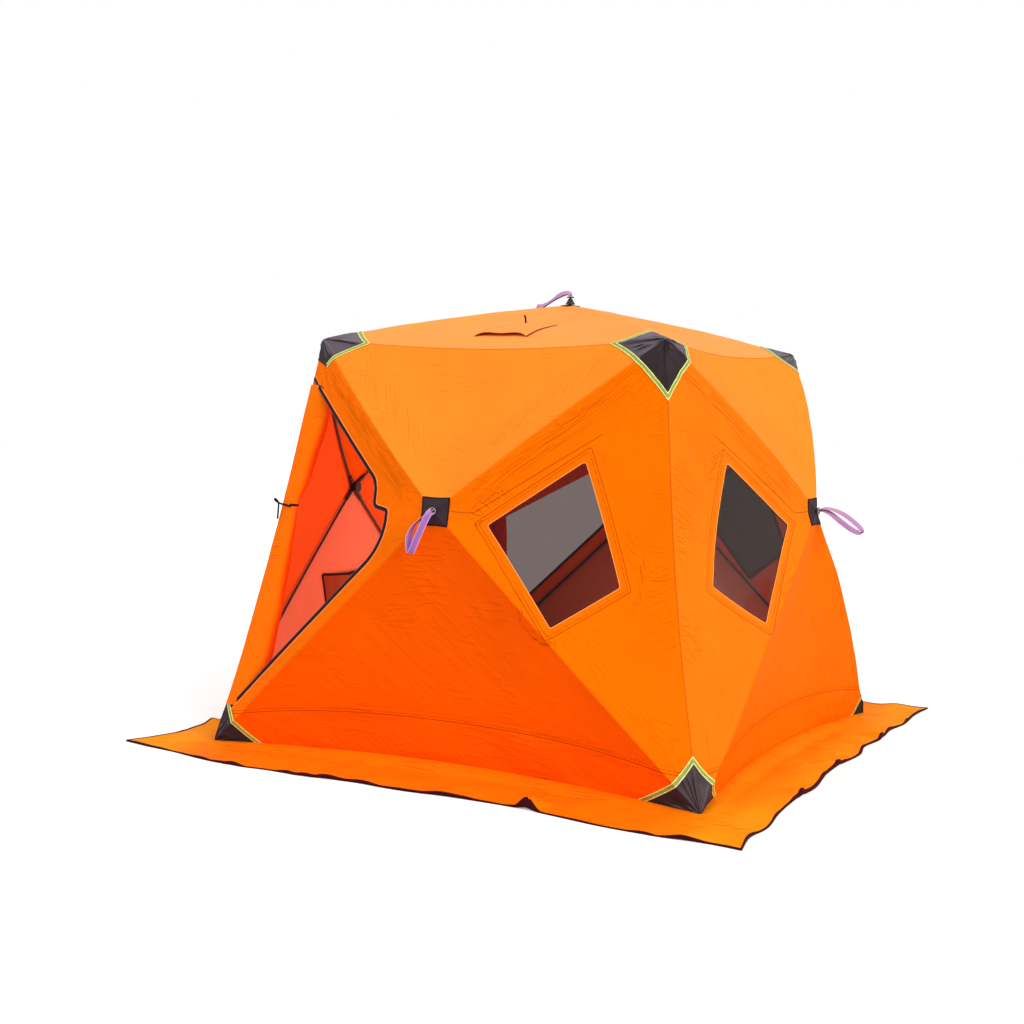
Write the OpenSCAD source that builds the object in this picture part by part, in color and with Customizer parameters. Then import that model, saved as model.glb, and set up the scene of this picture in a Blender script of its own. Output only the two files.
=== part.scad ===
// Pop-up ice fishing hut: four fabric walls and a roof, each pushed out by a hub
// with four flexible poles, over an open floor with a snow skirt all round.
// Origin: on the ground, under the middle of the roof. The front wall faces -Y.

/* [Hut] */
// Side of the square between the bottom corners
base_side = 2200; // [1800:10:2700]
// Side of the square between the top corners
top_side = 1570; // [1300:10:1900]
// Height of the top corners above the ground
corner_height = 1720; // [1430:10:1860]
// Height of the roof hub above the ground
roof_height = 1910; // [1770:10:2300]
// Height of the hub in each wall
hub_height = 1045; // [870:5:1260]
// How far a wall hub stands outside the square of the bottom corners
hub_out = 62; // [30:1:120]

/* [Fabric] */
// Thickness of the fabric, with its lining and coating
fabric_t = 3; // [2:0.5:5]
// Outward curve of a wall's fabric along its two upper poles, at mid-length
upper_bow = 34; // [10:1:50]
// Outward curve of a wall's fabric along its two lower poles, at mid-length
lower_bow = 14; // [0:1:15]
// Outward curve of the roof along its poles, at mid-length
roof_bow = 14; // [5:1:40]
// How flat the fabric is pulled between two poles, from 0 to 1
bow_slack = 0.8; // [0:0.05:1]
// How far each upright seam is drawn in: front left, front right, back right, back left
seam_waist = [22, 72, 50, 40]; // [0:1:90]
// How far the eaves sag between the top corners
eave_sag = 38; // [0:1:60]
// How far the eaves are drawn in between the top corners
eave_in = 14; // [0:1:40]
// How far a wall's hem is drawn in between the bottom corners
hem_in = 84; // [0:1:110]
// How far a wall's hem is lifted off the ground between the bottom corners
hem_lift = 30; // [0:1:60]
// Width of the snow skirt on the ground
skirt_width = 280; // [150:5:400]

/* [Poles and hubs] */
// Diameter of the fibreglass poles
pole_d = 11; // [8:0.5:14]
// Gap between a pole's tip and the corner that it pushes into
pole_end_gap = 46; // [38:1:60]
// Outer diameter of the four sockets on a hub
socket_d = 18; // [15:0.5:22]
// Length of a socket
socket_len = 62; // [45:1:90]
// Diameter of a hub's round body
hub_d = 50; // [44:1:56]
// Diameter of the bolt through the fabric at each hub
bolt_d = 8; // [6:0.5:10]
// Diameter of the plate outside the fabric at each hub
plate_d = 34; // [24:1:50]

/* [Doors] */
// Width of fabric between a door's zip and the upper pole
door_upper_margin = 138; // [90:1:170]
// Width of fabric between a door's zip and the lower pole
door_lower_margin = 62; // [50:1:120]
// Width of fabric left at the upright seam beside a door
door_strip = 45; // [35:1:70]
// Radius of the bend of a door's zip beside the hub
door_round = 240; // [150:5:260]
// Half width of a rolled door where its tie pinches it
roll_waist = 33; // [25:1:45]
// Half width of a rolled door at its widest
roll_wide = 66; // [50:1:75]
// Half depth of a rolled door
roll_depth = 36; // [25:1:45]
// Lowest point of the part of the back door that stays zipped, above the ground
back_flap_low = 860; // [780:5:930]

/* [Windows] */
// Length of a window's upper side
window_long = 422; // [340:2:460]
// Length of a window's lower side
window_short = 285; // [220:2:320]
// Distance between those two sides
window_high = 472; // [380:2:500]
// How far the lower side starts behind the upper side
window_shift = 28; // [0:2:60]
// Tilt of those two sides
window_tilt = 34; // [30:0.5:38]
// How far the middle of a window lies from the middle of its facet, towards the hub
window_inset = 138; // [100:2:170]
// Radius of a window's corners
window_round = 22; // [10:1:40]
// Thickness of the clear window film
film_t = 1; // [0.5:0.1:2]
// Width of film sewn behind the fabric all round a window
film_hem = 14; // [8:1:20]

/* [Trim] */
// Thickness of the outer patches
patch_t = 2.4; // [1.5:0.1:4]
// Reach of a top corner cap along the eaves
cap_eave = 225; // [150:5:260]
// Reach of a top corner cap down the upright seam
cap_drop = 240; // [160:5:280]
// Reach of a top corner cap along a wall pole
cap_pole = 165; // [120:5:200]
// Reach of a top corner cap along a roof pole
cap_roof = 170; // [120:5:200]
// Reach of a bottom corner gusset along the ground
gusset_run = 232; // [160:5:260]
// Reach of a bottom corner gusset up the upright seam
gusset_rise = 200; // [150:5:240]
// Reach of a bottom corner gusset along a wall pole
gusset_pole = 128; // [100:4:150]
// Reach of the square patch round each hub, along the poles
hub_patch_r = 86; // [70:1:110]
// Width of the webbing of a pull loop
loop_w = 28; // [20:1:40]
// Length of a pull loop
loop_len = 165; // [120:5:200]
// Thickness of the webbing of a pull loop
loop_t = 2.4; // [1.5:0.1:3]
// Angle of a wall's pull loop below straight out
wall_loop_lean = 34; // [15:1:60]
// Height of the cone under the roof's pull loop
stub_h = 26; // [15:1:40]
// Diameter of that cone at its foot
stub_d = 44; // [30:1:60]

/* [Vents and pocket] */
// Width of a roof vent's hood
vent_w = 240; // [180:5:300]
// Length of a vent's hood down the roof
vent_len = 285; // [220:5:330]
// Distance from the eave to the mouth of a vent
vent_eave = 82; // [60:2:110]
// Height of a vent's mouth above the roof
vent_mouth = 18; // [14:1:40]
// Width of the storage pocket inside the left wall
pocket_w = 305; // [240:5:340]
// Height of the storage pocket
pocket_h = 190; // [140:5:220]
// Depth of the storage pocket
pocket_deep = 26; // [15:1:40]
// Height of the storage pocket's rim above the ground
pocket_rim = 640; // [560:5:660]

/* [Hidden] */
$fn = 32;

// Panels: walls 0 front, 1 right, 2 back, 3 left, and 4 the roof.
// Corners: 0 front left, 1 front right, 2 back right, 3 back left.
FRONT = 0;
RIGHT = 1;
BACK = 2;
LEFT = 3;
ROOF = 4;
seam_gap = 0.2;          // each panel stops this far short of its sewn edge
layer_gap = 0.5;         // between the fabric and a patch on it
ground_gap = 0.3;        // between the skirt and the hem above it
mid_rows = 4;            // rows of facets between a hub's patch and a corner's patch
mid_cols = 6;            // columns of facets between the patches at two corners
rows = mid_rows + 2;
cols = mid_cols + 2;
waist_skew = 1.25;       // moves an upright seam's waist down
socket_gap = 0.3;        // round a pole in its socket
pole_gap = 0.7;          // between a pole and the fabric at the corners
sunk_in_socket = 34;     // length of pole inside a socket
hood_seat = 1.2;         // from the curved roof up to a vent's hood, at its corners
hub_slack = 2;           // between a hub's body and the steepest fabric behind it
bend_steps = 12;         // straight steps round the bend of a door's zip
door_tip_round = 12;     // radius at the upper and lower ends of a door's opening
UP = [0, 0, 1];
// Fall of the roof from its hub to the middle of an eave
roof_fall = atan2(roof_height - corner_height + eave_sag, top_side / 2 - eave_in);

function mix(a, b, t) = a * (1 - t) + b * t;
function corner_sign(c) = [[-1, -1], [1, -1], [1, 1], [-1, 1]][c % 4];
function corner_at(c, side, z) = [corner_sign(c).x * side / 2, corner_sign(c).y * side / 2, z];
function top_corner(c) = corner_at(c, top_side, corner_height);
function base_corner(c) = corner_at(c, base_side, fabric_t + ground_gap);
function wall_dir(k) = [sin(90 * k), -cos(90 * k), 0];
function along(k) = [cos(90 * k), sin(90 * k), 0];
function panel_dir(p) = p == ROOF ? UP : wall_dir(p);
function hub_pt(p) =
    p == ROOF ? UP * roof_height : wall_dir(p) * (base_side / 2 + hub_out) + UP * hub_height;
function bow(p, j) = p == ROOF ? roof_bow : j % 4 < 2 ? upper_bow : lower_bow;

// Sewn edges: an eave, an upright seam from its top, and a wall's hem
function eave_pt(k, t) =
    mix(top_corner(k), top_corner(k + 1), t)
    - sin(180 * t) * (UP * eave_sag + wall_dir(k) * eave_in);
function seam_pt(c, t) =
    mix(top_corner(c), base_corner(c), t)
    - seam_waist[c % 4] * sin(180 * pow(t, waist_skew)) * (wall_dir(c) + wall_dir(c + 3)) / sqrt(2);
function hem_pt(k, t) =
    mix(base_corner(k), base_corner(k + 1), t)
    - pow(sin(180 * t), 0.8) * wall_dir(k) * hem_in + sin(180 * t) * UP * hem_lift;

// A panel's corners and edges run clockwise seen from outside
function ring(p) =
    p == ROOF ? [for (c = [1, 0, 3, 2]) top_corner(c)]
    : [top_corner(p), top_corner(p + 1), base_corner(p + 1), base_corner(p)];
function edge_pt(p, j, t) =
    p == ROOF ? eave_pt((4 - j) % 4, 1 - t)
    : j == 0 ? eave_pt(p, t)
    : j == 1 ? seam_pt((p + 1) % 4, t)
    : j == 2 ? hem_pt(p, 1 - t)
    : seam_pt(p, 1 - t);
// Outward direction of the panel on the far side of edge j
function beyond(p, j) =
    p == ROOF ? wall_dir((4 - j % 4) % 4)
    : j % 4 == 0 ? UP
    : j % 4 == 1 ? wall_dir(p + 1)
    : j % 4 == 3 ? wall_dir(p + 3)
    : [0, 0, 0];

// Grid of a facet: rows out from the hub, columns along the edge, with lines at the patches
function pole_len(p, j) = norm(ring(p)[j % 4] - hub_pt(p));
function pole_reach(p, j) = p == ROOF ? cap_roof : j % 4 < 2 ? cap_pole : gusset_pole;
function row_at(p, j, i) =
    let (n = pole_len(p, j), a = hub_patch_r / n, b = 1 - pole_reach(p, j) / n)
    i == 0 ? 0 : i == rows ? 1 : mix(a, b, (i - 1) / mid_rows);
function edge_reach(p, j, at_start) =
    p == ROOF || j == 0 ? cap_eave
    : j == 2 ? gusset_run
    : (j == 1) == at_start ? cap_drop : gusset_rise;
function col_at(p, j, m) =
    let (n = norm(ring(p)[(j + 1) % 4] - ring(p)[j]),
         a = edge_reach(p, j, true) / n, b = 1 - edge_reach(p, j, false) / n)
    m == 0 ? 0 : m == cols ? 1 : mix(a, b, (m - 1) / mid_cols);
function surface_pt(p, j, s, t) =
    mix(hub_pt(p), edge_pt(p, j, t), s)
    + panel_dir(p) * mix(bow(p, j), bow(p, j + 1), t) * 4 * s * (1 - s) * (1 - bow_slack * 4 * t * (1 - t));
// Grid point i, m of facet j, on a layer d outside the fabric's outer face
function grid_pt(p, j, i, m, d, inset = 0) =
    let (t = col_at(p, j, m),
         s = mix(row_at(p, j, i), row_at(p, j + 1, i), t),
         side = i < rows ? [0, 0, 0]
             : beyond(p, j) + (m == 0 ? beyond(p, j + 3) : m == cols ? beyond(p, j + 1) : [0, 0, 0]))
    surface_pt(p, j, s, t) + panel_dir(p) * d + side * (d - inset);

// A whole panel as a closed skin between two layers, d_in inside d_out
module skin(p, d_out, d_in, inset) {
    n = 4 * cols;
    layer = n * rows + 1;
    pts = [for (d = [d_out, d_in]) each concat(
        [hub_pt(p) + panel_dir(p) * d],
        [for (i = [1:rows], j = [0:3], m = [0:cols - 1]) grid_pt(p, j, i, m, d, inset)])];
    function at(i, q) = i == 0 ? 0 : 1 + (i - 1) * n + q % n;
    // the diagonals lean the way that leaves each corner patch on whole facets
    outer = [for (i = [0:rows - 1], q = [0:n - 1])
        let (a = at(i, q), b = at(i + 1, q), c = at(i + 1, q + 1), d = at(i, q + 1))
        each i == 0 ? [[a, b, c]]
            : q % cols < cols / 2 ? [[a, b, c], [a, c, d]] : [[a, b, d], [b, c, d]]];
    inner = [for (f = outer) [f[2] + layer, f[1] + layer, f[0] + layer]];
    rim = [for (q = [0:n - 1])
        let (a = at(rows, q), b = at(rows, q + 1))
        each [[b, a, a + layer], [b, a + layer, b + layer]]];
    polyhedron(pts, concat(outer, inner, rim), convexity = 6);
}
module fabric(p) { skin(p, 0, -fabric_t, seam_gap); }

// A fan of facets round an apex, between two layers; spokes hold [point, direction] pairs
module fan(apex, spokes, closed) {
    n = len(spokes);
    last = closed ? n : n - 1;
    all = concat([apex], spokes);
    pts = [for (d = [layer_gap + patch_t, layer_gap], a = all) a[0] + a[1] * d];
    outer = [for (i = [0:last - 1]) [0, 1 + i, 1 + (i + 1) % n]];
    inner = [for (f = outer) [f[2] + n + 1, f[1] + n + 1, f[0] + n + 1]];
    edge = closed ? [for (i = [0:n]) 1 + i % n] : [for (i = [0:n]) i];
    loop = closed ? [for (i = [0:n - 1]) [edge[i], edge[i + 1]]]
        : concat([for (i = [0:n - 1]) [edge[i], edge[i + 1]]], [[n, 0]]);
    rim = [for (e = loop) each [[e[1], e[0], e[0] + n + 1], [e[1], e[0] + n + 1, e[1] + n + 1]]];
    polyhedron(pts, concat(outer, inner, rim), convexity = 4);
}
// A grid point with the directions of the panels that meet there
function patch_pt(p, j, i, m) =
    let (side = i < rows ? [0, 0, 0]
        : beyond(p, j) + (m == 0 ? beyond(p, j + 3) : m == cols ? beyond(p, j + 1) : [0, 0, 0]))
    [grid_pt(p, j, i, m, 0), panel_dir(p) + side];

// Top corner cap over two walls and the roof, with its points clockwise seen from outside
module corner_cap(c) {
    left = (c + 3) % 4;
    roof_edge = (5 - c) % 4;
    color("#3b3036")
    fan(patch_pt(c, 0, rows, 0), [
        patch_pt(c, 0, rows, 1), patch_pt(c, 0, rows - 1, 0),
        patch_pt(c, 3, rows, cols - 1),
        patch_pt(left, 1, rows - 1, 0), patch_pt(left, 0, rows, cols - 1),
        patch_pt(ROOF, roof_edge, rows - 1, 0)], true);
}
// Bottom corner gusset over two walls
module corner_gusset(c) {
    left = (c + 3) % 4;
    color("#2f262b")
    fan(patch_pt(c, 3, rows, 0), [
        patch_pt(left, 2, rows, 1), patch_pt(left, 2, rows - 1, 0),
        patch_pt(c, 3, rows, 1),
        patch_pt(c, 3, rows - 1, 0), patch_pt(c, 2, rows, cols - 1)], false);
}

// Bored for the hub's bolt
module bolt_hole(p) {
    difference() {
        children();
        at_hub(p) cylinder(d = bolt_d + 1, h = 80, center = true);
    }
}
// Moves to a hub, with +Z pointing out of the hut
module at_hub(p) {
    if (p == ROOF) translate(hub_pt(p)) children();
    else translate(hub_pt(p)) rotate([90, 0, 90 * p]) children();
}
module hub_patch(p) {
    color("#2c2328")
    bolt_hole(p)
    fan([hub_pt(p), panel_dir(p)],
        [for (j = [0:3]) [grid_pt(p, j, 1, 0, 0), panel_dir(p)]], true);
}

// Outlines on a wall's own plane, with X to the right seen from outside and Y up,
// for the facet on the right; the left one is its mirror image
facet_hub = [0, hub_height];
facet_top = [top_side / 2, corner_height];
facet_base = [base_side / 2, 0];
function side_normal(a, b) = [a.y - b.y, b.x - a.x] / norm(b - a);
// The corner at b of the outline a, b, c when side a-b moves in by d and side b-c by e
function inset_corner(a, b, c, d, e) =
    let (n = side_normal(a, b), k = side_normal(b, c), det = n.x * k.y - n.y * k.x)
    b + (d * [k.y, -k.x] + e * [-n.y, n.x]) / det;
door_bend_mid = inset_corner(facet_top, facet_hub, facet_base,
    door_upper_margin + door_round, door_lower_margin + door_round);
door_base = inset_corner(facet_hub, facet_base, facet_top, door_lower_margin, door_strip);
door_top = inset_corner(facet_base, facet_top, facet_hub, door_strip, door_upper_margin);
// The zip runs along both poles and bends round beside the hub
bend_from = side_normal(facet_top, facet_hub);
bend_to = side_normal(facet_hub, facet_base);
bend_angle = acos(bend_from * bend_to);
door_bend = [for (i = [0:bend_steps])
    let (a = atan2(bend_from.y, bend_from.x) + bend_angle * i / bend_steps)
    door_bend_mid - door_round * [cos(a), sin(a)]];
module door_outline(less = 0) {
    offset(r = door_tip_round) offset(delta = -door_tip_round - less)
    polygon(concat([door_top], door_bend, [door_base]));
}
window_mid = (facet_hub + facet_top + facet_base) / 3 - [window_inset, 0];
module window_outline(more = 0) {
    a = window_long / 2;
    b = window_high / 2;
    translate(window_mid) rotate(window_tilt)
    offset(r = window_round + more) offset(delta = -window_round)
    polygon([[-a, b], [window_shift - a, -b], [window_shift - a + window_short, -b], [a, b]]);
}
// Cuts straight through wall k; hand is 1 for the right facet and -1 for the left
module through_wall(k, hand) {
    rotate(90 * k) mirror([hand < 0 ? 1 : 0, 0, 0])
    rotate([90, 0, 0]) linear_extrude(base_side) children();
}
module wall(k, door_hand, window_hand) {
    color("#f97a1e")
    bolt_hole(k)
    difference() {
        fabric(k);
        if (door_hand != 0) through_wall(k, door_hand) door_outline();
        through_wall(k, window_hand) window_outline();
    }
}
module roof() {
    color("#f9a452")
    bolt_hole(ROOF)
    difference() {
        fabric(ROOF);
        for (turn = [0, 180]) rotate(turn) vent_hole();
    }
}
// Film behind the fabric of a window
module window_film(k, hand) {
    color("#8b2226")
    intersection() {
        skin(k, -fabric_t - layer_gap, -fabric_t - layer_gap - film_t, seam_gap);
        through_wall(k, hand) window_outline(film_hem);
    }
}

// Snow skirt along wall k: from under the hem down to the ground and out
module skirt(k) {
    m = cols;
    out = base_side / 2 + skirt_width;
    run = [0, 0.14, 0.4, 1];         // four lines across its width, the outer two on the ground
    lift = [1, 0.4, 0, 0];
    function foot(t) = mix(corner_at(k, 2 * out, 0), corner_at(k + 1, 2 * out, 0), t);
    function under(i, r) =
        let (t = col_at(k, 2, i), h = hem_pt(k, t), a = [h.x, h.y, 0])
        mix(a, foot(t), run[r]) + UP * (h.z - fabric_t - ground_gap) * lift[r]
        + along(k) * (i == 0 ? seam_gap : i == m ? -seam_gap : 0);
    low = [for (i = [0:m], r = [0:3]) under(i, r)];
    pts = concat(low, [for (q = low) q + UP * fabric_t]);
    n = len(low);
    function at(i, r) = i * 4 + r;
    top = [for (i = [0:m - 1], r = [0:2])
        each [[at(i, r), at(i + 1, r), at(i + 1, r + 1)], [at(i, r), at(i + 1, r + 1), at(i, r + 1)]]];
    loop = concat([for (i = [0:m]) at(i, 0)], [for (r = [1:3]) at(m, r)],
        [for (i = [1:m]) at(m - i, 3)], [for (r = [1:2]) at(0, 3 - r)]);
    rim = [for (i = [0:len(loop) - 1])
        let (a = loop[i], b = loop[(i + 1) % len(loop)])
        each [[a, b, b + n], [a, b + n, a + n]]];
    color("#ff9310")
    polyhedron(pts, concat([for (f = top) f + [n, n, n]], [for (f = top) [f[2], f[1], f[0]]], rim),
        convexity = 6);
}
// Least cosine between a panel's direction and the fabric beside its poles
function lean_cos(p, a, b, c) = abs(cross(b - a, c - a) * panel_dir(p)) / norm(cross(b - a, c - a));
function steepness(p) = min([for (j = [0:3], i = [0:rows - 1])
    let (a = grid_pt(p, j, i, 0, 0), b = grid_pt(p, j, i + 1, 0, 0))
    min(lean_cos(p, a, b, grid_pt(p, j, i + 1, 1, 0)),
        lean_cos(p, a, b, grid_pt(p, (j + 3) % 4, i + 1, cols - 1, 0)))]);
function sink(p, d) = fabric_t + (d / 2 + pole_gap) / steepness(p);
// A pole's centre line: deeper at the hub, where it sits in its socket
function pole_pt(p, j, s) =
    mix(hub_pt(p), ring(p)[j], s)
    + panel_dir(p) * (bow(p, j) * 4 * s * (1 - s) - mix(sink(p, socket_d), sink(p, pole_d), s));
socket_start = hub_d / 2 - 4;
// A socket and the pole's end in it share one straight line
function socket_line(p, j) =
    [pole_pt(p, j, socket_start / pole_len(p, j)), pole_pt(p, j, row_at(p, j, 2) / 2)];
module rod(a, b, d) {
    v = b - a;
    translate(a) rotate([0, acos(v.z / norm(v)), atan2(v.y, v.x)])
    cylinder(d = d, h = norm(v));
}
// A round bar that follows a list of points
module bar(path, d, sides = 8) {
    n = len(path);
    pts = [for (i = [0:n - 1])
        let (v = path[min(i + 1, n - 1)] - path[max(i - 1, 0)], w = v / norm(v),
             side = cross(w, abs(w.z) > 0.9 ? [1, 0, 0] : UP), a = side / norm(side), b = cross(w, a))
        for (q = [0:sides - 1]) path[i] + (a * cos(360 * q / sides) + b * sin(360 * q / sides)) * d / 2];
    faces = [for (i = [0:n - 2], q = [0:sides - 1])
        let (a = i * sides + q, b = i * sides + (q + 1) % sides)
        each [[b, a, a + sides], [b, a + sides, b + sides]]];
    polyhedron(pts, concat(faces, [[for (q = [0:sides - 1]) q],
        [for (q = [0:sides - 1]) n * sides - 1 - q]]), convexity = 4);
}
module poles(p) {
    color("#1c1c1e")
    for (j = [0:3]) {
        line = socket_line(p, j);
        in_socket = line[0] + (line[1] - line[0]) / norm(line[1] - line[0]) * (socket_len - sunk_in_socket);
        bends = [for (i = [2:rows - 1]) pole_pt(p, j, row_at(p, j, i))];
        // the fabric is thicker at its mitred corner, so the tip lies deeper by as much
        tip = mix(pole_pt(p, j, 1), bends[len(bends) - 1], pole_end_gap / pole_reach(p, j))
            - panel_dir(p) * fabric_t;
        bar(concat([in_socket, line[1]], bends, [tip]), pole_d);
    }
}
// Hub: a round body, four sockets, and a bolt through the fabric to a plate outside
module hub(p) {
    // the fabric falls away round the bolt, so the body lies this far behind it
    body_at = -fabric_t - pole_gap - hub_d / 2 * tan(acos(steepness(p))) - hub_slack - socket_d;
    plate_at = loop_base(p) + loop_t + layer_gap;
    color("#26262a")
    difference() {
        union() {
            at_hub(p) {
                translate([0, 0, body_at]) cylinder(d = hub_d, h = socket_d);
                translate([0, 0, body_at]) cylinder(d = bolt_d, h = plate_at - body_at + 1);
                translate([0, 0, plate_at]) cylinder(d = plate_d, h = 3);
                translate([0, 0, plate_at]) cylinder(d = bolt_d * 1.9, h = 8, $fn = 6);
                if (p == ROOF) translate([0, 0, loop_base(p) - stub_h])
                    cylinder(d1 = stub_d, d2 = bolt_d * 2, h = stub_h - layer_gap);
            }
            for (j = [0:3]) {
                line = socket_line(p, j);
                v = (line[1] - line[0]) / norm(line[1] - line[0]);
                rod(line[0] - v * (socket_start - 2), line[0] + v * socket_len, socket_d);
            }
        }
        for (j = [0:3]) {
            line = socket_line(p, j);
            v = (line[1] - line[0]) / norm(line[1] - line[0]);
            rod(line[0] + v * (socket_len - sunk_in_socket - 1), line[0] + v * (socket_len + 1),
                pole_d + 2 * socket_gap);
        }
    }
}

// Pull loop: a tab under the hub's plate and a teardrop of webbing that stands out from it
loop_tip = 12;           // outer radius of the loop's far end
loop_heel = 6;           // outer radius of its near end
tab_back = 16;           // the tab's reach past the bolt, away from the loop
tab_front = 25;          // and towards it
heel_up = 7;             // height of the near end's middle over the tab's underside
function loop_base(p) = layer_gap * 2 + patch_t + (p == ROOF ? stub_h : 0);
loop_run = loop_len - loop_tip - loop_heel;
// The roof's loop leans over until its far end nearly lies on the fabric
heel_over_roof = (stub_h + heel_up) * cos(roof_fall) + tab_front * sin(roof_fall);
roof_loop_lean = roof_fall + acos((loop_tip + 3 - heel_over_roof) / loop_run);
module teardrop(less) {
    hull() {
        circle(r = loop_heel - less);
        translate([loop_run, 0]) circle(r = loop_tip - less);
    }
}
module pull_loop(p) {
    lean = p == ROOF ? roof_loop_lean : wall_loop_lean;
    color("#a468b4")
    difference() {
        at_hub(p) translate([0, 0, loop_base(p)])
        rotate([90, 0, p == ROOF ? 0 : 90]) {
            translate([0, 0, -loop_w / 2]) linear_extrude(loop_w) {
                translate([-tab_front, 0]) square([tab_front + tab_back, loop_t]);
                translate([-tab_front, heel_up]) rotate(90 + lean)
                difference() {
                    teardrop(0);
                    teardrop(loop_t);
                }
            }
        }
        at_hub(p) cylinder(d = bolt_d + 1, h = 120, center = true);
    }
}

// Gathered door, hanging down the upright seam at corner c, pinched by its tie.
// Stations are [place along the seam, share of the swing from waist to full width]
front_stations = [[0.16, -0.5], [0.21, 0.7], [0.3, 0.3], [0.39, 0], [0.5, 0.35], [0.65, 0.85],
    [0.75, 1], [0.8, 0.6], [0.85, -0.4]];
back_stations = [[0.56, -0.3], [0.6, 0], [0.68, 0.7], [0.75, 1], [0.8, 0.6], [0.85, -0.4]];
module door_roll(k, hand, stations) {
    sides = 12;
    n = len(stations);
    function ring_at(f) =
        let (z = mix(corner_height, 0, f[0]),
             half = mix(roll_waist, roll_wide, f[1]),
             u = mix(top_side, base_side, f[0]) / 2 - door_strip_flat - half - layer_gap,
             s = mix(top_side, base_side, f[0]) / 2,
             w = mix(s, hub_pt(k) * wall_dir(k), 1 - u / s) - roll_depth * 0.8)
        [for (q = [0:sides - 1])
            let (x = hand * (u + half * cos(360 * q / sides)), y = roll_depth * sin(360 * q / sides))
            along(k) * x + wall_dir(k) * (w - y * hand) + UP * z];
    pts = [for (f = stations) each ring_at(f)];
    faces = [for (i = [0:n - 2], q = [0:sides - 1])
        let (a = i * sides + q, b = i * sides + (q + 1) % sides)
        each [[a, b, b + sides], [a, b + sides, a + sides]]];
    polyhedron(pts, concat(faces, [[for (q = [0:sides - 1]) sides - 1 - q],
        [for (q = [0:sides - 1]) (n - 1) * sides + q]]), convexity = 4);
}
// The flat distance from the upright seam to the door's opening, along the wall
door_strip_flat = door_strip * norm(facet_top - facet_base) / (corner_height);

// Part of the back door that stays zipped: above a slanting line from the seam to the hub
flap_line_tilt = 29;
flap_line_at = top_side / 2 + 36;    // where that line has its named height
module zipped_flap() {
    intersection() {
        skin(BACK, 0, -fabric_t, seam_gap);
        through_wall(BACK, 1) intersection() {
            door_outline(layer_gap);
            polygon([[0, back_flap_low + flap_line_at * tan(flap_line_tilt)],
                [base_side / 2, back_flap_low - (base_side / 2 - flap_line_at) * tan(flap_line_tilt)],
                [base_side / 2, corner_height], [0, corner_height]]);
        }
    }
}

// Roof vents: a low hood over a hole, with its mouth towards the eave
module vent_hole() {
    translate([0, -top_side / 2 + vent_eave + vent_len / 2, roof_height - 250])
    linear_extrude(300) square([vent_w * 0.6, vent_len * 0.5], center = true);
}
// Height of the roof at the edge of a hood, at a distance out from the middle of the roof
function roof_z(out) =
    let (s = out / (top_side / 2 - eave_in), t = 0.5 - vent_w / 2 / (s * top_side))
    surface_pt(ROOF, 0, s, t).z;
module vent_hood() {
    mouth = top_side / 2 - vent_eave;
    low = roof_z(mouth) + hood_seat;
    fall = atan2(roof_z(mouth - vent_len) + hood_seat - low, vent_len);
    translate([0, -mouth, low]) rotate([fall, 0, 0])
    rotate([90, 0, 90]) translate([0, 0, -vent_w / 2])
    difference() {
        linear_extrude(vent_w)
        polygon([[0, 0], [0, vent_mouth], [vent_len, 2 * fabric_t], [vent_len, 0]]);
        translate([0, 0, fabric_t]) linear_extrude(vent_w - 2 * fabric_t)
        polygon([[-1, -1], [-1, vent_mouth - fabric_t],
            [vent_len - fabric_t, fabric_t], [vent_len - fabric_t, -1]]);
    }
}
module roof_vents() {
    color("#f9a85a") for (turn = [0, 180]) rotate(turn) vent_hood();
}

// Storage pocket hung inside the left wall's lower facet
module storage_pocket() {
    color("#8a5a3c")
    intersection() {
        skin(LEFT, -fabric_t - layer_gap, -fabric_t - layer_gap - pocket_deep, seam_gap);
        through_wall(LEFT, 1) translate([-19, pocket_rim - pocket_h]) square([pocket_w, pocket_h]);
    }
}

module front_wall() { wall(FRONT, -1, 1); }
module right_wall() { wall(RIGHT, 0, -1); }
module back_wall() { wall(BACK, 1, -1); }
module left_wall() { wall(LEFT, 0, -1); }
module front_door_flap() { color("#ff8418") door_roll(FRONT, -1, front_stations); }
module back_door_flap() {
    color("#f4701a") {
        zipped_flap();
        door_roll(BACK, 1, back_stations);
    }
}

front_wall();
right_wall();
back_wall();
left_wall();
roof();
skirt(FRONT);  // front_skirt
skirt(RIGHT);  // right_skirt
skirt(BACK);  // back_skirt
skirt(LEFT);  // left_skirt
corner_cap(0);  // front_left_cap
corner_cap(1);  // front_right_cap
corner_cap(2);  // back_right_cap
corner_cap(3);  // back_left_cap
corner_gusset(0);  // front_left_gusset
corner_gusset(1);  // front_right_gusset
corner_gusset(2);  // back_right_gusset
corner_gusset(3);  // back_left_gusset
hub(FRONT);  // front_hub
hub(RIGHT);  // right_hub
hub(BACK);  // back_hub
hub(LEFT);  // left_hub
hub(ROOF);  // roof_hub
poles(FRONT);  // front_poles
poles(RIGHT);  // right_poles
poles(BACK);  // back_poles
poles(LEFT);  // left_poles
poles(ROOF);  // roof_poles
hub_patch(FRONT);  // front_hub_patch
hub_patch(RIGHT);  // right_hub_patch
hub_patch(BACK);  // back_hub_patch
hub_patch(LEFT);  // left_hub_patch
hub_patch(ROOF);  // roof_hub_patch
pull_loop(FRONT);  // front_pull_loop
pull_loop(RIGHT);  // right_pull_loop
pull_loop(BACK);  // back_pull_loop
pull_loop(LEFT);  // left_pull_loop
pull_loop(ROOF);  // roof_pull_loop
window_film(FRONT, 1);  // front_window
window_film(RIGHT, -1);  // right_window
window_film(BACK, -1);  // back_window
window_film(LEFT, -1);  // left_window
front_door_flap();
back_door_flap();
roof_vents();
storage_pocket();
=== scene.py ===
import math
import bpy
import numpy as np
from mathutils import Matrix, Vector
from mathutils.bvhtree import BVHTree
from numpy.linalg import norm


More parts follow.
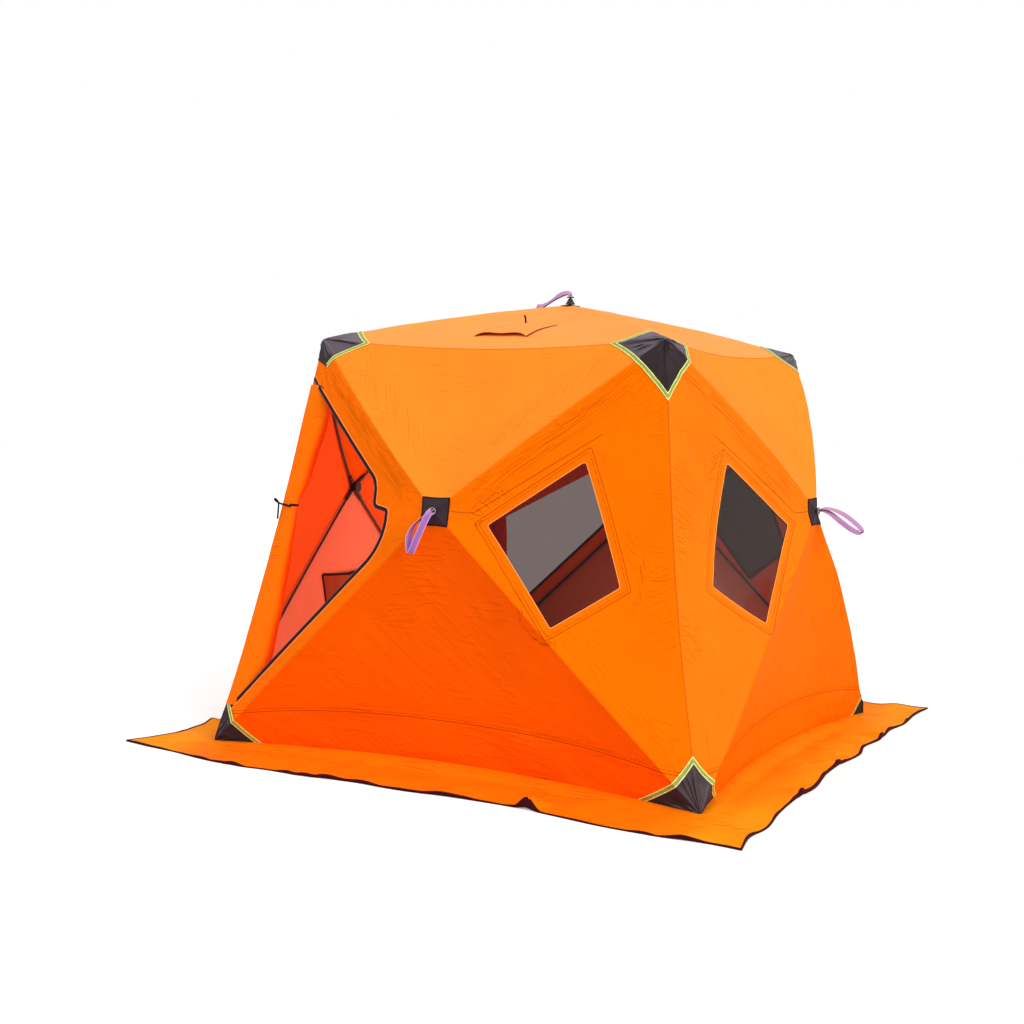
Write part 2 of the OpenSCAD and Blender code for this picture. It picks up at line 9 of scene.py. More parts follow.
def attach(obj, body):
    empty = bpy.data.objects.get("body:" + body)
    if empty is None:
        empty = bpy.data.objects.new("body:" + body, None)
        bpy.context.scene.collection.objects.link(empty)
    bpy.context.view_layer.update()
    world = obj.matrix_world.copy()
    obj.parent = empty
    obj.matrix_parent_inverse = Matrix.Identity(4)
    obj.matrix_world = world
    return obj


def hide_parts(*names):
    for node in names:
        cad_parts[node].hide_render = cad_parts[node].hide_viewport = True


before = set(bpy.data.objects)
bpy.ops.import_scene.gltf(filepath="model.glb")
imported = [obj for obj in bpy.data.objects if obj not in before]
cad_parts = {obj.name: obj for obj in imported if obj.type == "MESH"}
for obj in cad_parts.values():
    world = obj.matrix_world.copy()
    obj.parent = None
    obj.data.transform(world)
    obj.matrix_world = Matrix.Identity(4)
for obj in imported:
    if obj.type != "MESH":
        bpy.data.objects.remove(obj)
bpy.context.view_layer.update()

# camera
shot = dict(place=(3.020, -6.234, 1.460), azimuth=27.84, above=4.0, roll=0.0218, lens=53.97)


def aimCamera():
    turn = math.radians(shot["azimuth"])
    tip = math.radians(shot["above"])
    back = Vector((math.sin(turn) * math.cos(tip), -math.cos(turn) * math.cos(tip), math.sin(tip)))
    level = Vector((math.cos(turn), math.sin(turn), 0))
    upright = back.cross(level)
    side = level * math.cos(shot["roll"]) + upright * math.sin(shot["roll"])
    top = upright * math.cos(shot["roll"]) - level * math.sin(shot["roll"])
    data = bpy.data.cameras.new("camera")
    data.lens = shot["lens"]
    data.sensor_width = 36
    data.clip_end = 100
    cam = bpy.data.objects.new("camera", data)
    bpy.context.collection.objects.link(cam)
    turned = [(side[i], top[i], back[i], shot["place"][i]) for i in range(3)]
    cam.matrix_world = Matrix([*turned, (0, 0, 0, 1)])
    bpy.context.scene.camera = cam


aimCamera()
print("camera is set")


# one way to add a node
def linear(hexText):  # an sRGB hex colour as Blender wants it
    text = hexText.lstrip("#")
    parts = [int(text[i:i + 2], 16) / 255 for i in (0, 2, 4)]
    return [p / 12.92 if p <= 0.04045 else ((p + 0.055) / 1.055) ** 2.4 for p in parts] + [1.0]


def newFinish(name):
    finish = bpy.data.materials.new(name)
    finish.use_nodes = True
    finish.node_tree.nodes.clear()
    return finish, finish.node_tree


# feeds are sockets, numbers or hex colours for the inputs, by place or by name.
def add(tree, kind, feeds=(), out=0, stops=None, **settings):
    node = tree.nodes.new("ShaderNode" + kind)
    for key, value in settings.items():
        setattr(node, key, value)
    for key, value in feeds.items() if isinstance(feeds, dict) else enumerate(feeds):
        if isinstance(value, bpy.types.NodeSocket):
            tree.links.new(value, node.inputs[key])
        elif value is not None:
            node.inputs[key].default_value = linear(value) if isinstance(value, str) else value
    if stops:
        band = node.color_ramp.elements
        while len(band) < len(stops):
            band.new(0.5)
        for mark, (at, colour) in zip(band, stops):
            mark.position = at
            mark.color = linear(colour) if isinstance(colour, str) else [colour] * 3 + [1]
    return node.outputs[out] if len(node.outputs) else node


# the hut's shape in metres, the same as the frame's
hut = dict(
    base=2.200, top=1.570, cornerHeight=1.720, roofHeight=1.910, hubHeight=1.045, hubOut=0.062,
    upperBow=0.034, lowerBow=0.014, roofBow=0.014, slack=0.8, waists=(0.022, 0.072, 0.050, 0.040),
    waistSkew=1.25, eaveSag=0.038, eaveIn=0.014, hemIn=0.084, hemLift=0.030, footLift=0.0033)
front, right, back, left, roof = range(5)
walls = ("front", "right", "back", "left")
panels = (*walls, "roof")
corners = ("front_left", "front_right", "back_right", "back_left")
up = np.array([0.0, 0.0, 1.0])


def mixed(a, b, t):
    t = np.asarray(t, float)[..., None]
    return np.asarray(a) * (1 - t) + np.asarray(b) * t


def unit(v):
    return v / np.maximum(norm(v, axis=-1, keepdims=True), 1e-12)


def smooth(x):
    x = np.clip(x, 0, 1)
    return x * x * (3 - 2 * x)


def outOf(p):  # outward direction of a panel
    turn = math.radians(90 * (p % 4))
    return up if p == roof else np.array([math.sin(turn), -math.cos(turn), 0.0])


def along(k):  # a wall's direction to the right, seen from outside
    return outOf((k + 1) % 4)


def cornerAt(c, side, z):
    x, y = ((-1, -1), (1, -1), (1, 1), (-1, 1))[c % 4]
    return np.array([x * side / 2, y * side / 2, z])


def topCorner(c):
    return cornerAt(c, hut["top"], hut["cornerHeight"])


def baseCorner(c):
    return cornerAt(c, hut["base"], hut["footLift"])


def hubPoint(p):
    if p == roof:
        return up * hut["roofHeight"]
    return outOf(p) * (hut["base"] / 2 + hut["hubOut"]) + up * hut["hubHeight"]


def eaveLine(k, t):
    sag = np.sin(np.pi * np.asarray(t, float))[..., None]
    drop = up * hut["eaveSag"] + outOf(k % 4) * hut["eaveIn"]
    return mixed(topCorner(k), topCorner(k + 1), t) - sag * drop


def seamLine(c, t):
    pull = hut["waists"][c % 4] * np.sin(np.pi * np.asarray(t, float) ** hut["waistSkew"])[..., None]
    return mixed(topCorner(c), baseCorner(c), t) - pull * (outOf(c % 4) + outOf((c + 3) % 4)) / math.sqrt(2)


def hemLine(k, t):
    rise = np.clip(np.sin(np.pi * np.asarray(t, float)), 0, 1)[..., None]
    return (mixed(baseCorner(k), baseCorner(k + 1), t) - rise ** 0.8 * outOf(k) * hut["hemIn"]
            + rise * up * hut["hemLift"])


def sewnEdge(p, j, t):  # clockwise from the top left, seen from outside
    j = j % 4
    t = np.asarray(t, float)
    if p == roof:
        return eaveLine((4 - j) % 4, 1 - t)
    if j == 0:
        return eaveLine(p, t)
    if j == 1:
        return seamLine(p + 1, t)
    return hemLine(p, 1 - t) if j == 2 else seamLine(p, 1 - t)


def bow(p, j):
    return hut["roofBow"] if p == roof else hut["upperBow"] if j % 4 < 2 else hut["lowerBow"]


def facetPoint(p, j, s, t):  # s runs from the hub to the sewn edge, t along that edge
    s, t = np.broadcast_arrays(np.asarray(s, float), np.asarray(t, float))
    lift = (bow(p, j) * (1 - t) + bow(p, j + 1) * t) * 4 * s * (1 - s) * (1 - hut["slack"] * 4 * t * (1 - t))
    return mixed(hubPoint(p), sewnEdge(p, j, t), s) + lift[..., None] * outOf(p)


# outlines on a wall's own plane, for the facet on the right: (right, up)
doorCut = dict(upperMargin=0.138, lowerMargin=0.062, strip=0.045, tipRound=0.012,
               upperRound=0.080, notchRound=0.016, lowerRound=0.280)
windowCut = dict(corners=[(0.206, 0.997), (0.543, 1.251), (0.710, 0.783), (0.493, 0.627)], round=0.007)
facetHub = np.array([0.0, hut["hubHeight"]])
facetTop = np.array([hut["top"] / 2, hut["cornerHeight"]])
facetBase = np.array([hut["base"] / 2, 0.0])


def insetCorner(a, b, c, d, e):  # the corner at b when a-b moves in by d and b-c by e
    n = unit(np.array([a[1] - b[1], b[0] - a[0]]))
    m = unit(np.array([b[1] - c[1], c[0] - b[0]]))
    return b + (d * np.array([m[1], -m[0]]) + e * np.array([-n[1], n[0]])) / (n[0] * m[1] - n[1] * m[0])


def roundedLoop(points, radii, closed=True, steps=10):
    loop = []
    n = len(points)
    for i, r in enumerate(radii):
        p = np.asarray(points[i], float)
        if not closed and i in (0, n - 1):
            loop.append(p)
            continue
        a = unit(np.asarray(points[i - 1]) - p)
        b = unit(np.asarray(points[(i + 1) % n]) - p)
        half = math.acos(float(np.clip(a @ b, -1, 1))) / 2
        middle = p + unit(a + b) * r / math.sin(half)
        start = p + a * r / math.tan(half) - middle
        end = p + b * r / math.tan(half) - middle
        swing = math.acos(float(np.clip(start @ end / (r * r), -1, 1)))
        for q in range(steps + 1):
            f = q / steps
            arc = start * math.sin((1 - f) * swing) + end * math.sin(f * swing)
            loop.append(middle + arc / math.sin(swing))
    return np.array(loop)


def evenly(path, gap, closed=False):  # the same line with points about this far apart
    path = np.asarray(path, float)
    if closed:
        path = np.vstack([path, path[:1]])
    run = np.concatenate([[0], np.cumsum(norm(np.diff(path, axis=0), axis=1))])
    count = max(2, int(round(run[-1] / gap)) + 1)
    at = np.linspace(0, run[-1], count)
    even = np.stack([np.interp(at, run, path[:, i]) for i in range(path.shape[1])], axis=1)
    return even[:-1] if closed else even


def outsideBy(flat, loop):  # signed distance to a closed outline, positive outside it
    a = np.asarray(loop)
    b = np.roll(a, -1, axis=0)
    nearest = np.full(len(flat), 9.0)
    inside = np.zeros(len(flat), bool)
    for p, q in zip(a, b):
        step = q - p
        f = np.clip(((flat - p) @ step) / (step @ step), 0, 1)
        nearest = np.minimum(nearest, norm(flat - p - f[:, None] * step, axis=1))
        if p[1] != q[1]:
            hit = (flat[:, 1] < p[1]) != (flat[:, 1] < q[1])
            reach = p[0] + (flat[:, 1] - p[1]) / (q[1] - p[1]) * step[0]
            inside ^= hit & (flat[:, 0] < reach)
    return np.where(inside, -nearest, nearest)


def mitredFrom(flat, corners):  # distance outside a convex outline, kept sharp at its corners
    middle = np.mean(corners, axis=0)
    away = np.full(len(flat), -9.0)
    for i in range(len(corners)):
        a = np.asarray(corners[i - 1])
        step = unit(np.asarray(corners[i]) - a)
        side = np.array([step[1], -step[0]])
        side = side if (middle - a) @ side < 0 else -side
        away = np.maximum(away, (flat - a) @ side)
    return away


def fromLine(flat, points):  # distance to an open line, with a sign for the side of it
    nearest = np.full(len(flat), 9.0)
    for p, q in zip(np.asarray(points[:-1]), np.asarray(points[1:])):
        f = ((flat - p) @ (q - p)) / ((q - p) @ (q - p))
        away = flat - p - np.clip(f, 0, 1)[:, None] * (q - p)
        far = norm(away, axis=1) * np.where(np.cross(q - p, away) < 0, -1, 1)
        nearest = np.where(np.abs(far) < np.abs(nearest), far, nearest)
    return nearest


def doorCorners():
    d = doorCut
    top = insetCorner(facetBase, facetTop, facetHub, d["strip"], d["upperMargin"])
    bottom = insetCorner(facetHub, facetBase, facetTop, d["lowerMargin"], d["strip"])
    bend = insetCorner(facetTop, facetHub, facetBase, d["upperMargin"], d["lowerMargin"])
    overStep = bend + (top - bend) * 0.285  # where the upper zip turns down
    underStep = bend + (bottom - bend) * 0.115  # where the lower zip starts
    step = (overStep[0] + 0.002, facetHub[1] + 0.002), (underStep[0] + 0.004, facetHub[1] - 0.010)
    return [top, overStep, *step, underStep, bottom]


doorLine = roundedLoop(doorCorners(), (doorCut["tipRound"], doorCut["upperRound"], doorCut["notchRound"],
                                       doorCut["notchRound"], doorCut["lowerRound"], doorCut["tipRound"]))


def zipPath():
    corners = doorCorners()
    corners[0] = corners[0] + unit(facetTop - facetHub) * doorCut["strip"] * 0.86 / 0.863
    corners[-1] = corners[-1] + unit(facetBase - facetHub) * doorCut["strip"] * 0.86 / 0.589
    return roundedLoop(corners, (0, doorCut["upperRound"], doorCut["notchRound"], doorCut["notchRound"],
                                 doorCut["lowerRound"], 0), False)


windowLine = roundedLoop(windowCut["corners"], [windowCut["round"]] * 4)
doorHand = {front: -1, back: 1}
windowHand = {front: 1, right: -1, back: -1, left: -1}


def handed(flat, hand):  # the same outline on the right facet, or mirrored to the left one
    return np.asarray(flat) * np.array([hand, 1])


# folds in the cloth, in metres outward
folds = dict(
    seed=5, swell=0.0035, swellSize=0.30, rays=0.0040, raysReach=0.42, poleFolds=0.0034, poleFoldGap=0.034,
    seamPucker=0.0034, seamPuckerGap=0.046, windowPucker=0.0026, bandFolds=0.0060, crumple=0.0012,
    ventRise=0.029, rightSwell=0.018)


def softNoise(x, y, seed):
    rng = np.random.default_rng(folds["seed"] * 1000 + seed)
    grid = rng.uniform(-1, 1, (64, 64))
    x, y = np.broadcast_arrays(np.asarray(x, float), np.asarray(y, float))
    i = np.floor(x).astype(int)
    j = np.floor(y).astype(int)
    f = smooth(x - i)
    g = smooth(y - j)
    low = grid[i % 64, j % 64] * (1 - f) + grid[(i + 1) % 64, j % 64] * f
    high = grid[i % 64, (j + 1) % 64] * (1 - f) + grid[(i + 1) % 64, (j + 1) % 64] * f
    return low * (1 - g) + high * g


def raysFrom(u, z, at, seed, spokes):  # long folds that fan out from a point under strain
    far = np.hypot(u - at[0], z - at[1])
    angle = np.arctan2(z - at[1], u - at[0])
    fold = softNoise(angle * spokes + 40, far * 2.2 + 3, seed)
    mask = np.exp(-((far - 0.30) / (folds["raysReach"] * 0.6)) ** 2)
    return np.maximum(fold, 0) ** 1.5 * mask


def besidePole(end, u, z):  # distances along the line from the hub to an end, and off it
    line = unit(end - facetHub)
    rise = z - facetHub[1]
    return u * line[0] + rise * line[1], u * line[1] - rise * line[0]


def wallRelief(k, u, z, toEdge, upright):
    flat = np.stack([u, z], axis=1)
    high = folds["swell"] * softNoise(u / folds["swellSize"] + 9, z / folds["swellSize"], 10 + k)
    high += folds["rays"] * 0.6 * raysFrom(u, z, facetHub, 20 + k, 9)
    for n, at in enumerate((facetTop, facetTop * (-1, 1), facetBase, facetBase * (-1, 1))):
        high += folds["rays"] * raysFrom(u, z, at, 30 + 4 * k + n, 13)
    aside = np.abs(u)
    hand = np.sign(u)
    for n, end in enumerate((facetTop, facetBase)):
        run, out = besidePole(end, aside, z)
        out = out * (1, -1)[n]
        strip = smooth(out / 0.025) * np.exp(-(out / 0.11) ** 2) * (out > 0)
        ripple = softNoise(out / folds["poleFoldGap"] + 8, run / 0.40 + 5 * hand + 20, 60 + 2 * k + n)
        high += folds["poleFolds"] * (1 - 0.6 * n) * strip * ripple * smooth(run / 0.25)
    slanted = (z + 0.7 * toEdge) / folds["seamPuckerGap"]
    pucker = softNoise(slanted + 30, toEdge / 0.20 + 7 * hand + 30, 80 + k)
    where = smooth(0.5 + 1.4 * softNoise(z / 0.26 + 5, 3 * hand + 10, 90 + k))
    high += folds["seamPucker"] * upright * pucker * where * np.exp(-toEdge / 0.085) * smooth(toEdge / 0.012)
    window = handed(windowLine, windowHand[k])
    apart = outsideBy(flat, window)
    gather = softNoise((z * 0.9 + u * 0.5) / 0.040 + 20, apart / 0.12 + 10, 100 + k)
    some = smooth(0.35 + 1.5 * softNoise(u / 0.22 + 9, z / 0.22, 104 + k))
    high += folds["windowPucker"] * gather * np.exp(-((apart - 0.075) / 0.035) ** 2) * some
    if k == right:
        run, out = besidePole(facetBase, u, z)
        high += (folds["rightSwell"] * (u > 0) * smooth(run / 0.5) * smooth((1.45 - run) / 0.7)
                 * np.exp(-(out / 0.22) ** 2))
    under = smooth((bandHeight(u) - z) / 0.03)
    high += folds["bandFolds"] * under * softNoise((u + 0.4 * z) / 0.13 + 20, z / 0.16 + 10, 110 + k)
    crumple = softNoise((u + z) / 0.055 + 50, (u - z) / 0.085 + 50, 120 + k)
    high += folds["crumple"] * crumple * (1 - upright * 0.5)
    return high * smooth(toEdge / 0.030)


def roofRelief(x, y, toEdge):
    high = folds["swell"] * softNoise(x / 0.33 + 20, y / 0.33 + 20, 130)
    for c in range(4):
        at = topCorner(c)[:2]
        high += folds["rays"] * 0.8 * raysFrom(x, y, at, 140 + c, 11)
    high += folds["crumple"] * 0.8 * softNoise((x + y) / 0.09 + 50, (x - y) / 0.12 + 50, 150)
    r = np.maximum(np.abs(x), np.abs(y))
    aside = np.minimum(np.abs(x), np.abs(y))
    high += (folds["ventRise"] * smooth((r - 0.36) / 0.26) * np.exp(-(aside / 0.40) ** 2)
             * smooth((hut["top"] / 2 - r) / 0.09))
    return high * smooth(toEdge / 0.030)


skirtBand = dict(low=0.128, rise=0.078, half=1.02, bend=2.4)


def bandHeight(u):  # the seam above the hem, where the skirt's band is sewn on
    return skirtBand["low"] + skirtBand["rise"] * np.clip(
        1 - (np.abs(u) / skirtBand["half"]) ** skirtBand["bend"], 0, 1)


# a panel is a fan of four facets round its hub
lattice = dict(wallRows=84, roofRows=60, clothDepth=0.0012, edgeLean=0.80)
facetPaintedLight = (1.0, 0.5, 0.0, 0.5)  # painted light: how pale the top, right, bottom and left facets are painted, as the sky lights them from above


def edgeDistance(p, j, s, t):  # from a point of a facet straight to its sewn edge
    return (1 - s) * norm(sewnEdge(p, j, t) - hubPoint(p), axis=-1) * lattice["edgeLean"]


def relief(p, points, toEdge, upright):  # how far the folds move points of the cloth
    if p == roof:
        high = roofRelief(points[:, 0], points[:, 1], toEdge)
    else:
        high = wallRelief(p, points @ along(p), points[:, 2], toEdge, upright)
    return high[:, None] * outOf(p)


# Rings of points round the hub: x, y, z, distance to the sewn edge, share of a side facet, and a painted
# light level: paler on the top facets, deeper on the bottom ones.
def panelFan(p, rows):
    data = []
    starts = []
    total = 0
    for i in range(rows + 1):
        q = max(1, 2 * i)
        starts.append(total)
        for j in range(4):
            t = np.arange(q) / q if i else np.zeros(1)
            s = np.full(len(t), i / rows)
            points = facetPoint(p, j, s, t)
            toEdge = edgeDistance(p, j, s, t)
            upright = 1.0 if p != roof and j % 2 else 0.0
            share = np.full(len(t), upright)
            share[0] = 0.5 if p != roof else 0
            tone = np.full(len(t), facetPaintedLight[j])
            tone[0] = (facetPaintedLight[j] + facetPaintedLight[j - 1]) / 2
            if i == 0 and j:
                break
            data.append(np.column_stack([points, toEdge, share, tone]))
        total = sum(len(d) for d in data)
    starts.append(total)
    data = np.vstack(data)
    tris = []
    for i in range(rows):
        inner = starts[i]
        outer = starts[i + 1]
        q = max(1, 2 * i)
        w = 2 * (i + 1)
        for j in range(4):
            a = b = 0
            na = 4 * q if i else 1
            nb = 4 * w
            steps = q if i else 0
            while a < steps or b < w:
                ia = inner + (j * q + a) % na if i else inner
                ib = outer + (j * w + b) % nb
                if b < w and (a >= steps or (b + 1) / w <= (a + 1) / q + 1e-9):
                    tris.append((ia, outer + (j * w + b + 1) % nb, ib))
                    b += 1
                else:
                    tris.append((ia, inner + (j * q + a + 1) % na, ib))
                    a += 1
    data[:, :3] += relief(p, data[:, :3], data[:, 3], data[:, 4])
    return data, np.array(tris)


# Keeps the cloth where keep is positive. Points near the line slide onto it first.
def cutAway(data, tris, keep):
    data = data.copy()
    keep = keep.copy()
    edges = np.unique(np.sort(np.vstack([tris[:, [0, 1]], tris[:, [1, 2]], tris[:, [2, 0]]]), axis=1), axis=0)
    a, b = edges[keep[edges[:, 0]] * keep[edges[:, 1]] < 0].T
    share = keep[a] / (keep[a] - keep[b])
    moves = {}
    for v, w, f in [*zip(a, b, share), *zip(b, a, 1 - share)]:
        if f < 0.34 and f < moves.get(v, (1,))[0]:
            moves[v] = (f, data[v] * (1 - f) + data[w] * f)
    for v, (f, row) in moves.items():
        data[v] = row
        keep[v] = 0
    low = keep[tris].min(axis=1)
    high = keep[tris].max(axis=1)
    whole = tris[(low >= 0) & (high > 0)]
    extra = []
    made = {}
    pieces = []
    for tri in tris[(low < 0) & (high > 0)]:
        ring = []
        for i in range(3):
            v, w = int(tri[i]), int(tri[(i + 1) % 3])
            if keep[v] >= 0:
                ring.append(v)
            if keep[v] * keep[w] < 0:
                key = (min(v, w), max(v, w))
                if key not in made:
                    f = keep[key[0]] / (keep[key[0]] - keep[key[1]])
                    made[key] = len(data) + len(extra)
                    extra.append(data[key[0]] * (1 - f) + data[key[1]] * f)
                ring.append(made[key])
        pieces += [(ring[0], ring[i], ring[i + 1]) for i in range(1, len(ring) - 1)]
    if extra:
        data = np.vstack([data, np.array(extra)])
    tris = np.vstack([whole, np.array(pieces, int).reshape(-1, 3)])
    used, tris = np.unique(tris, return_inverse=True)
    return data[used], tris.reshape(-1, 3)


def pointNormals(points, tris):
    flat = np.cross(points[tris[:, 1]] - points[tris[:, 0]], points[tris[:, 2]] - points[tris[:, 0]])
    normals = np.zeros_like(points)
    for i in range(3):
        np.add.at(normals, tris[:, i], flat)
    return unit(normals)


# A closed shell over a sheet, from bottom to top along its normals. Its inner faces come second.
def thickened(points, tris, top, bottom):
    normals = pointNormals(points, tris)
    n = len(points)
    edges = np.vstack([tris[:, [0, 1]], tris[:, [1, 2]], tris[:, [2, 0]]])
    keys = edges[:, 0].astype(np.int64) * n + edges[:, 1]
    back = edges[:, 1].astype(np.int64) * n + edges[:, 0]
    rim = edges[~np.isin(keys, back)]
    both = np.vstack([points + normals * top, points + normals * bottom])
    faces = [*map(tuple, tris.tolist()), *map(tuple, (tris[:, ::-1] + n).tolist())]
    faces += [(b, a, a + n, b + n) for a, b in rim.tolist()]
    kinds = [0] * len(tris) + [1] * len(tris) + [0] * len(rim)
    return both, faces, kinds


# A shape is (points, faces, marks, kinds); a kind is the place of a face's finish in finishes.
def makePiece(name, shape, finishes, stands=(), crease=40):
    points, faces, marks, kinds = shape
    mesh = bpy.data.meshes.new(name)
    mesh.from_pydata(np.asarray(points, float).tolist(), [], faces)
    for finish in finishes:
        mesh.materials.append(finish)
    mesh.polygons.foreach_set("material_index", np.asarray(kinds, np.int32))
    for mark, values in marks.items():
        mesh.attributes.new(mark, "FLOAT", "POINT").data.foreach_set("value", np.asarray(values, np.float32))
    mesh.shade_smooth()
    mesh.set_sharp_from_angle(angle=math.radians(crease))
    mesh.validate()
    piece = bpy.data.objects.new(name, mesh)
    bpy.context.collection.objects.link(piece)
    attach(piece, "root")
    if stands:
        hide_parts(*stands)
    return piece


def oneSide(piece):  # area of one of a thin shell's two sides
    return sum(face.area for face in piece.data.polygons) / 2


# Several shapes as one. Each comes with the finishes of its kinds.
def join(parts):
    points = []
    faces = []
    marks = {}
    kinds = []
    total = 0
    for part, finishAt in parts:
        points.append(part[0])
        faces += [tuple(v + total for v in face) for face in part[1]]
        for mark, values in part[2].items():
            marks.setdefault(mark, []).append(values)
        kinds += [finishAt[kind] for kind in part[3]]
        total += len(part[0])
    return np.vstack(points), faces, {mark: np.concatenate(v) for mark, v in marks.items()}, kinds


def facingOut(points, faces):  # faces turned so that the closed shape's normals point out
    volume = 0
    for face in faces:
        for i in range(1, len(face) - 1):
            volume += np.dot(points[face[0]], np.cross(points[face[i]], points[face[i + 1]]))
    return faces if volume > 0 else [face[::-1] for face in faces]


# A bar that follows a path; profile is its section, as (sideways, outward) pairs in order. Either
# direction may be one for the whole path.
def bar(path, sideways, outward, profile, closed=False):
    path = np.asarray(path, float)
    sideways, outward = [np.broadcast_to(v, path.shape) for v in (sideways, outward)]
    n = len(path)
    m = len(profile)
    points = np.concatenate([path[:, None] + sideways[:, None] * a[0] + outward[:, None] * a[1]
                             for a in profile], axis=1).reshape(-1, 3)
    faces = []
    for i in range(n if closed else n - 1):
        k = (i + 1) % n
        for q in range(m):
            r = (q + 1) % m
            faces.append((i * m + q, i * m + r, k * m + r, k * m + q))
    if not closed:
        faces.append(tuple(range(m))[::-1])
        faces.append(tuple((n - 1) * m + q for q in range(m)))
    step = norm(np.diff(path, axis=0, append=path[:1] if closed else path[-1:]), axis=1)
    run = np.concatenate([[0], np.cumsum(step)[:-1]])
    wide = np.array([a[0] for a in profile])
    across = (wide - wide.min()) / (wide.max() - wide.min())
    faces = facingOut(points - points.mean(axis=0), faces)
    return points, faces, {"run": np.repeat(run, m), "across": np.tile(across, n)}, [0] * len(faces)


def strap(width, depth):  # section of webbing or tape that lies on its path
    e = min(depth * 0.5, width * 0.1)
    w = width / 2
    half = [(-w, 0), (-w, depth * 0.6), (-w + e, depth)]
    return half + [(0, depth * 1.04)] + [(-x, y) for x, y in half[::-1]]


def oblong(left, right, low, high):
    return [(left, low), (left, high), (right, high), (right, low)]


def rod(radius, sides):
    return [(radius * math.cos(2 * math.pi * q / sides), -radius * math.sin(2 * math.pi * q / sides))
            for q in range(sides)]


# A smooth curve through a few points.
def curveThrough(points, count):
    keys = np.asarray(points, float)
    keys = np.vstack([2 * keys[0] - keys[1], keys, 2 * keys[-1] - keys[-2]])
    at = np.linspace(0, len(points) - 1, count)
    i = np.minimum(at.astype(int), len(points) - 2)
    f = (at - i)[:, None]
    a, b, c, d = keys[i], keys[i + 1], keys[i + 2], keys[i + 3]
    square = (2 * a - 5 * b + 4 * c - d) * f ** 2
    cube = (3 * b - a - 3 * c + d) * f ** 3
    return 0.5 * (2 * b + (c - a) * f + square + cube)


def netTris(rows, cols, closed):
    i, j = np.meshgrid(np.arange(rows - 1), np.arange(cols if closed else cols - 1), indexing="ij")
    k = (j + 1) % cols
    a, b, c, d = i * cols + j, i * cols + k, (i + 1) * cols + k, (i + 1) * cols + j
    return np.concatenate([np.stack(t, axis=-1).reshape(-1, 3) for t in ((a, b, c), (a, c, d))])


# A thin closed shell over a net of points (rows, columns, place). Its top faces away from the core.
def shellOver(net, top, bottom, core=(0, 0, 0.9), closed=False):
    rows, cols = net.shape[:2]
    points = net.reshape(-1, 3)
    _, first, back = np.unique(points.round(6), axis=0, return_index=True, return_inverse=True)
    tris = back.ravel()[netTris(rows, cols, closed)]
    tris = tris[(tris[:, 0] != tris[:, 1]) & (tris[:, 1] != tris[:, 2]) & (tris[:, 2] != tris[:, 0])]
    points = points[first]
    if (pointNormals(points, tris) * (points - core)).sum() < 0:
        tris = tris[:, ::-1]
    run = np.concatenate([[0], np.cumsum(norm(np.diff(net[-1], axis=0), axis=1))])
    marks = {"across": np.repeat(np.linspace(0, 1, rows), cols)[first], "run": np.tile(run, rows)[first]}
    top, bottom = [np.broadcast_to(v, (rows, cols)).ravel()[first, None] for v in (top, bottom)]
    body, faces, kinds = thickened(points, tris, top, bottom)
    return body, faces, {mark: np.tile(values, 2) for mark, values in marks.items()}, kinds


def tangents(path, closed=False):
    if closed:
        return unit(np.roll(path, -1, axis=0) - np.roll(path, 1, axis=0))
    return unit(np.gradient(path, axis=0))


def clothAt(p, j, s, t):  # a point of the folded cloth itself
    s, t = np.broadcast_arrays(np.asarray(s, float), np.asarray(t, float))
    points = facetPoint(p, j, s, t)
    upright = np.where((t <= 0) | (t >= 1), 0.5, j % 2)
    return points + relief(p, points, edgeDistance(p, j, s, t), upright)


fans = {p: panelFan(p, lattice["roofRows"] if p == roof else lattice["wallRows"]) for p in range(5)}
trees = {p: BVHTree.FromPolygons(data[:, :3].tolist(), tris.tolist()) for p, (data, tris) in fans.items()}


# Points and outward normals on a panel: (right, up) on a wall, (x, y) on the roof.
def onCloth(p, flat):
    points = []
    normals = []
    for a, b in flat:
        start = np.array([a, b, 2.5]) if p == roof else along(p) * a + up * b + outOf(p) * 2.0
        hit, normal, _, _ = trees[p].ray_cast(Vector(start), Vector(-outOf(p)))
        if hit is None:  # beyond the sewn edge
            start = start - outOf(p) * (0.7 if p == roof else 0.95)
            hit, normal, _, _ = trees[p].find_nearest(Vector(start))
        normal = np.array(normal)
        points.append(np.array(hit))
        normals.append(normal if normal @ outOf(p) > 0 else -normal)
    return np.array(points), np.array(normals)


def eased(normals, closed=False, times=3):  # neighbouring normals share their turn
    for _ in range(times):
        if closed:
            normals = unit(normals + 0.5 * (np.roll(normals, 1, axis=0) + np.roll(normals, -1, axis=0)))
        else:
            inner = normals[1:-1] + 0.5 * (normals[:-2] + normals[2:])
            normals = unit(np.vstack([normals[:1], inner, normals[-1:]]))
    return normals


print("cloth is shaped")

# finishes
# low, side and high are painted light: deeper on the bottom facets and paler on the top ones, as the sky
# lights them; the roof's colour is painted paler as a painted reflection of the sky
oxford = dict(  # woven polyester with a coated back: bright, nearly matt, thread lines up close
    low="#FF5E00", side="#FF7000", high="#FF8B26", paintedSkySheen="#FF9E4E", seam="#A63A06", thread=0.009,
    roughness=0.62, gloss=0.015)


# ends a finish: its height becomes bump, and its shader goes to the output
def endFinish(tree, feeds, height, strength=1.0):
    bumped = add(tree, "Bump", {"Height": height, "Distance": 1.0, "Strength": strength})
    shader = add(tree, "BsdfPrincipled", {**feeds, "Normal": bumped})
    add(tree, "OutputMaterial", [shader])


# a ridge where noise passes its middle value, fading out this far from it
def ridgeOf(tree, noise, fade, **settings):
    away = add(tree, "Math", [noise, 0.5], operation="SUBTRACT")
    away = add(tree, "Math", [away], operation="ABSOLUTE")
    return add(tree, "MapRange", [away, 0.0, fade, 1.0, 0.0], **settings)


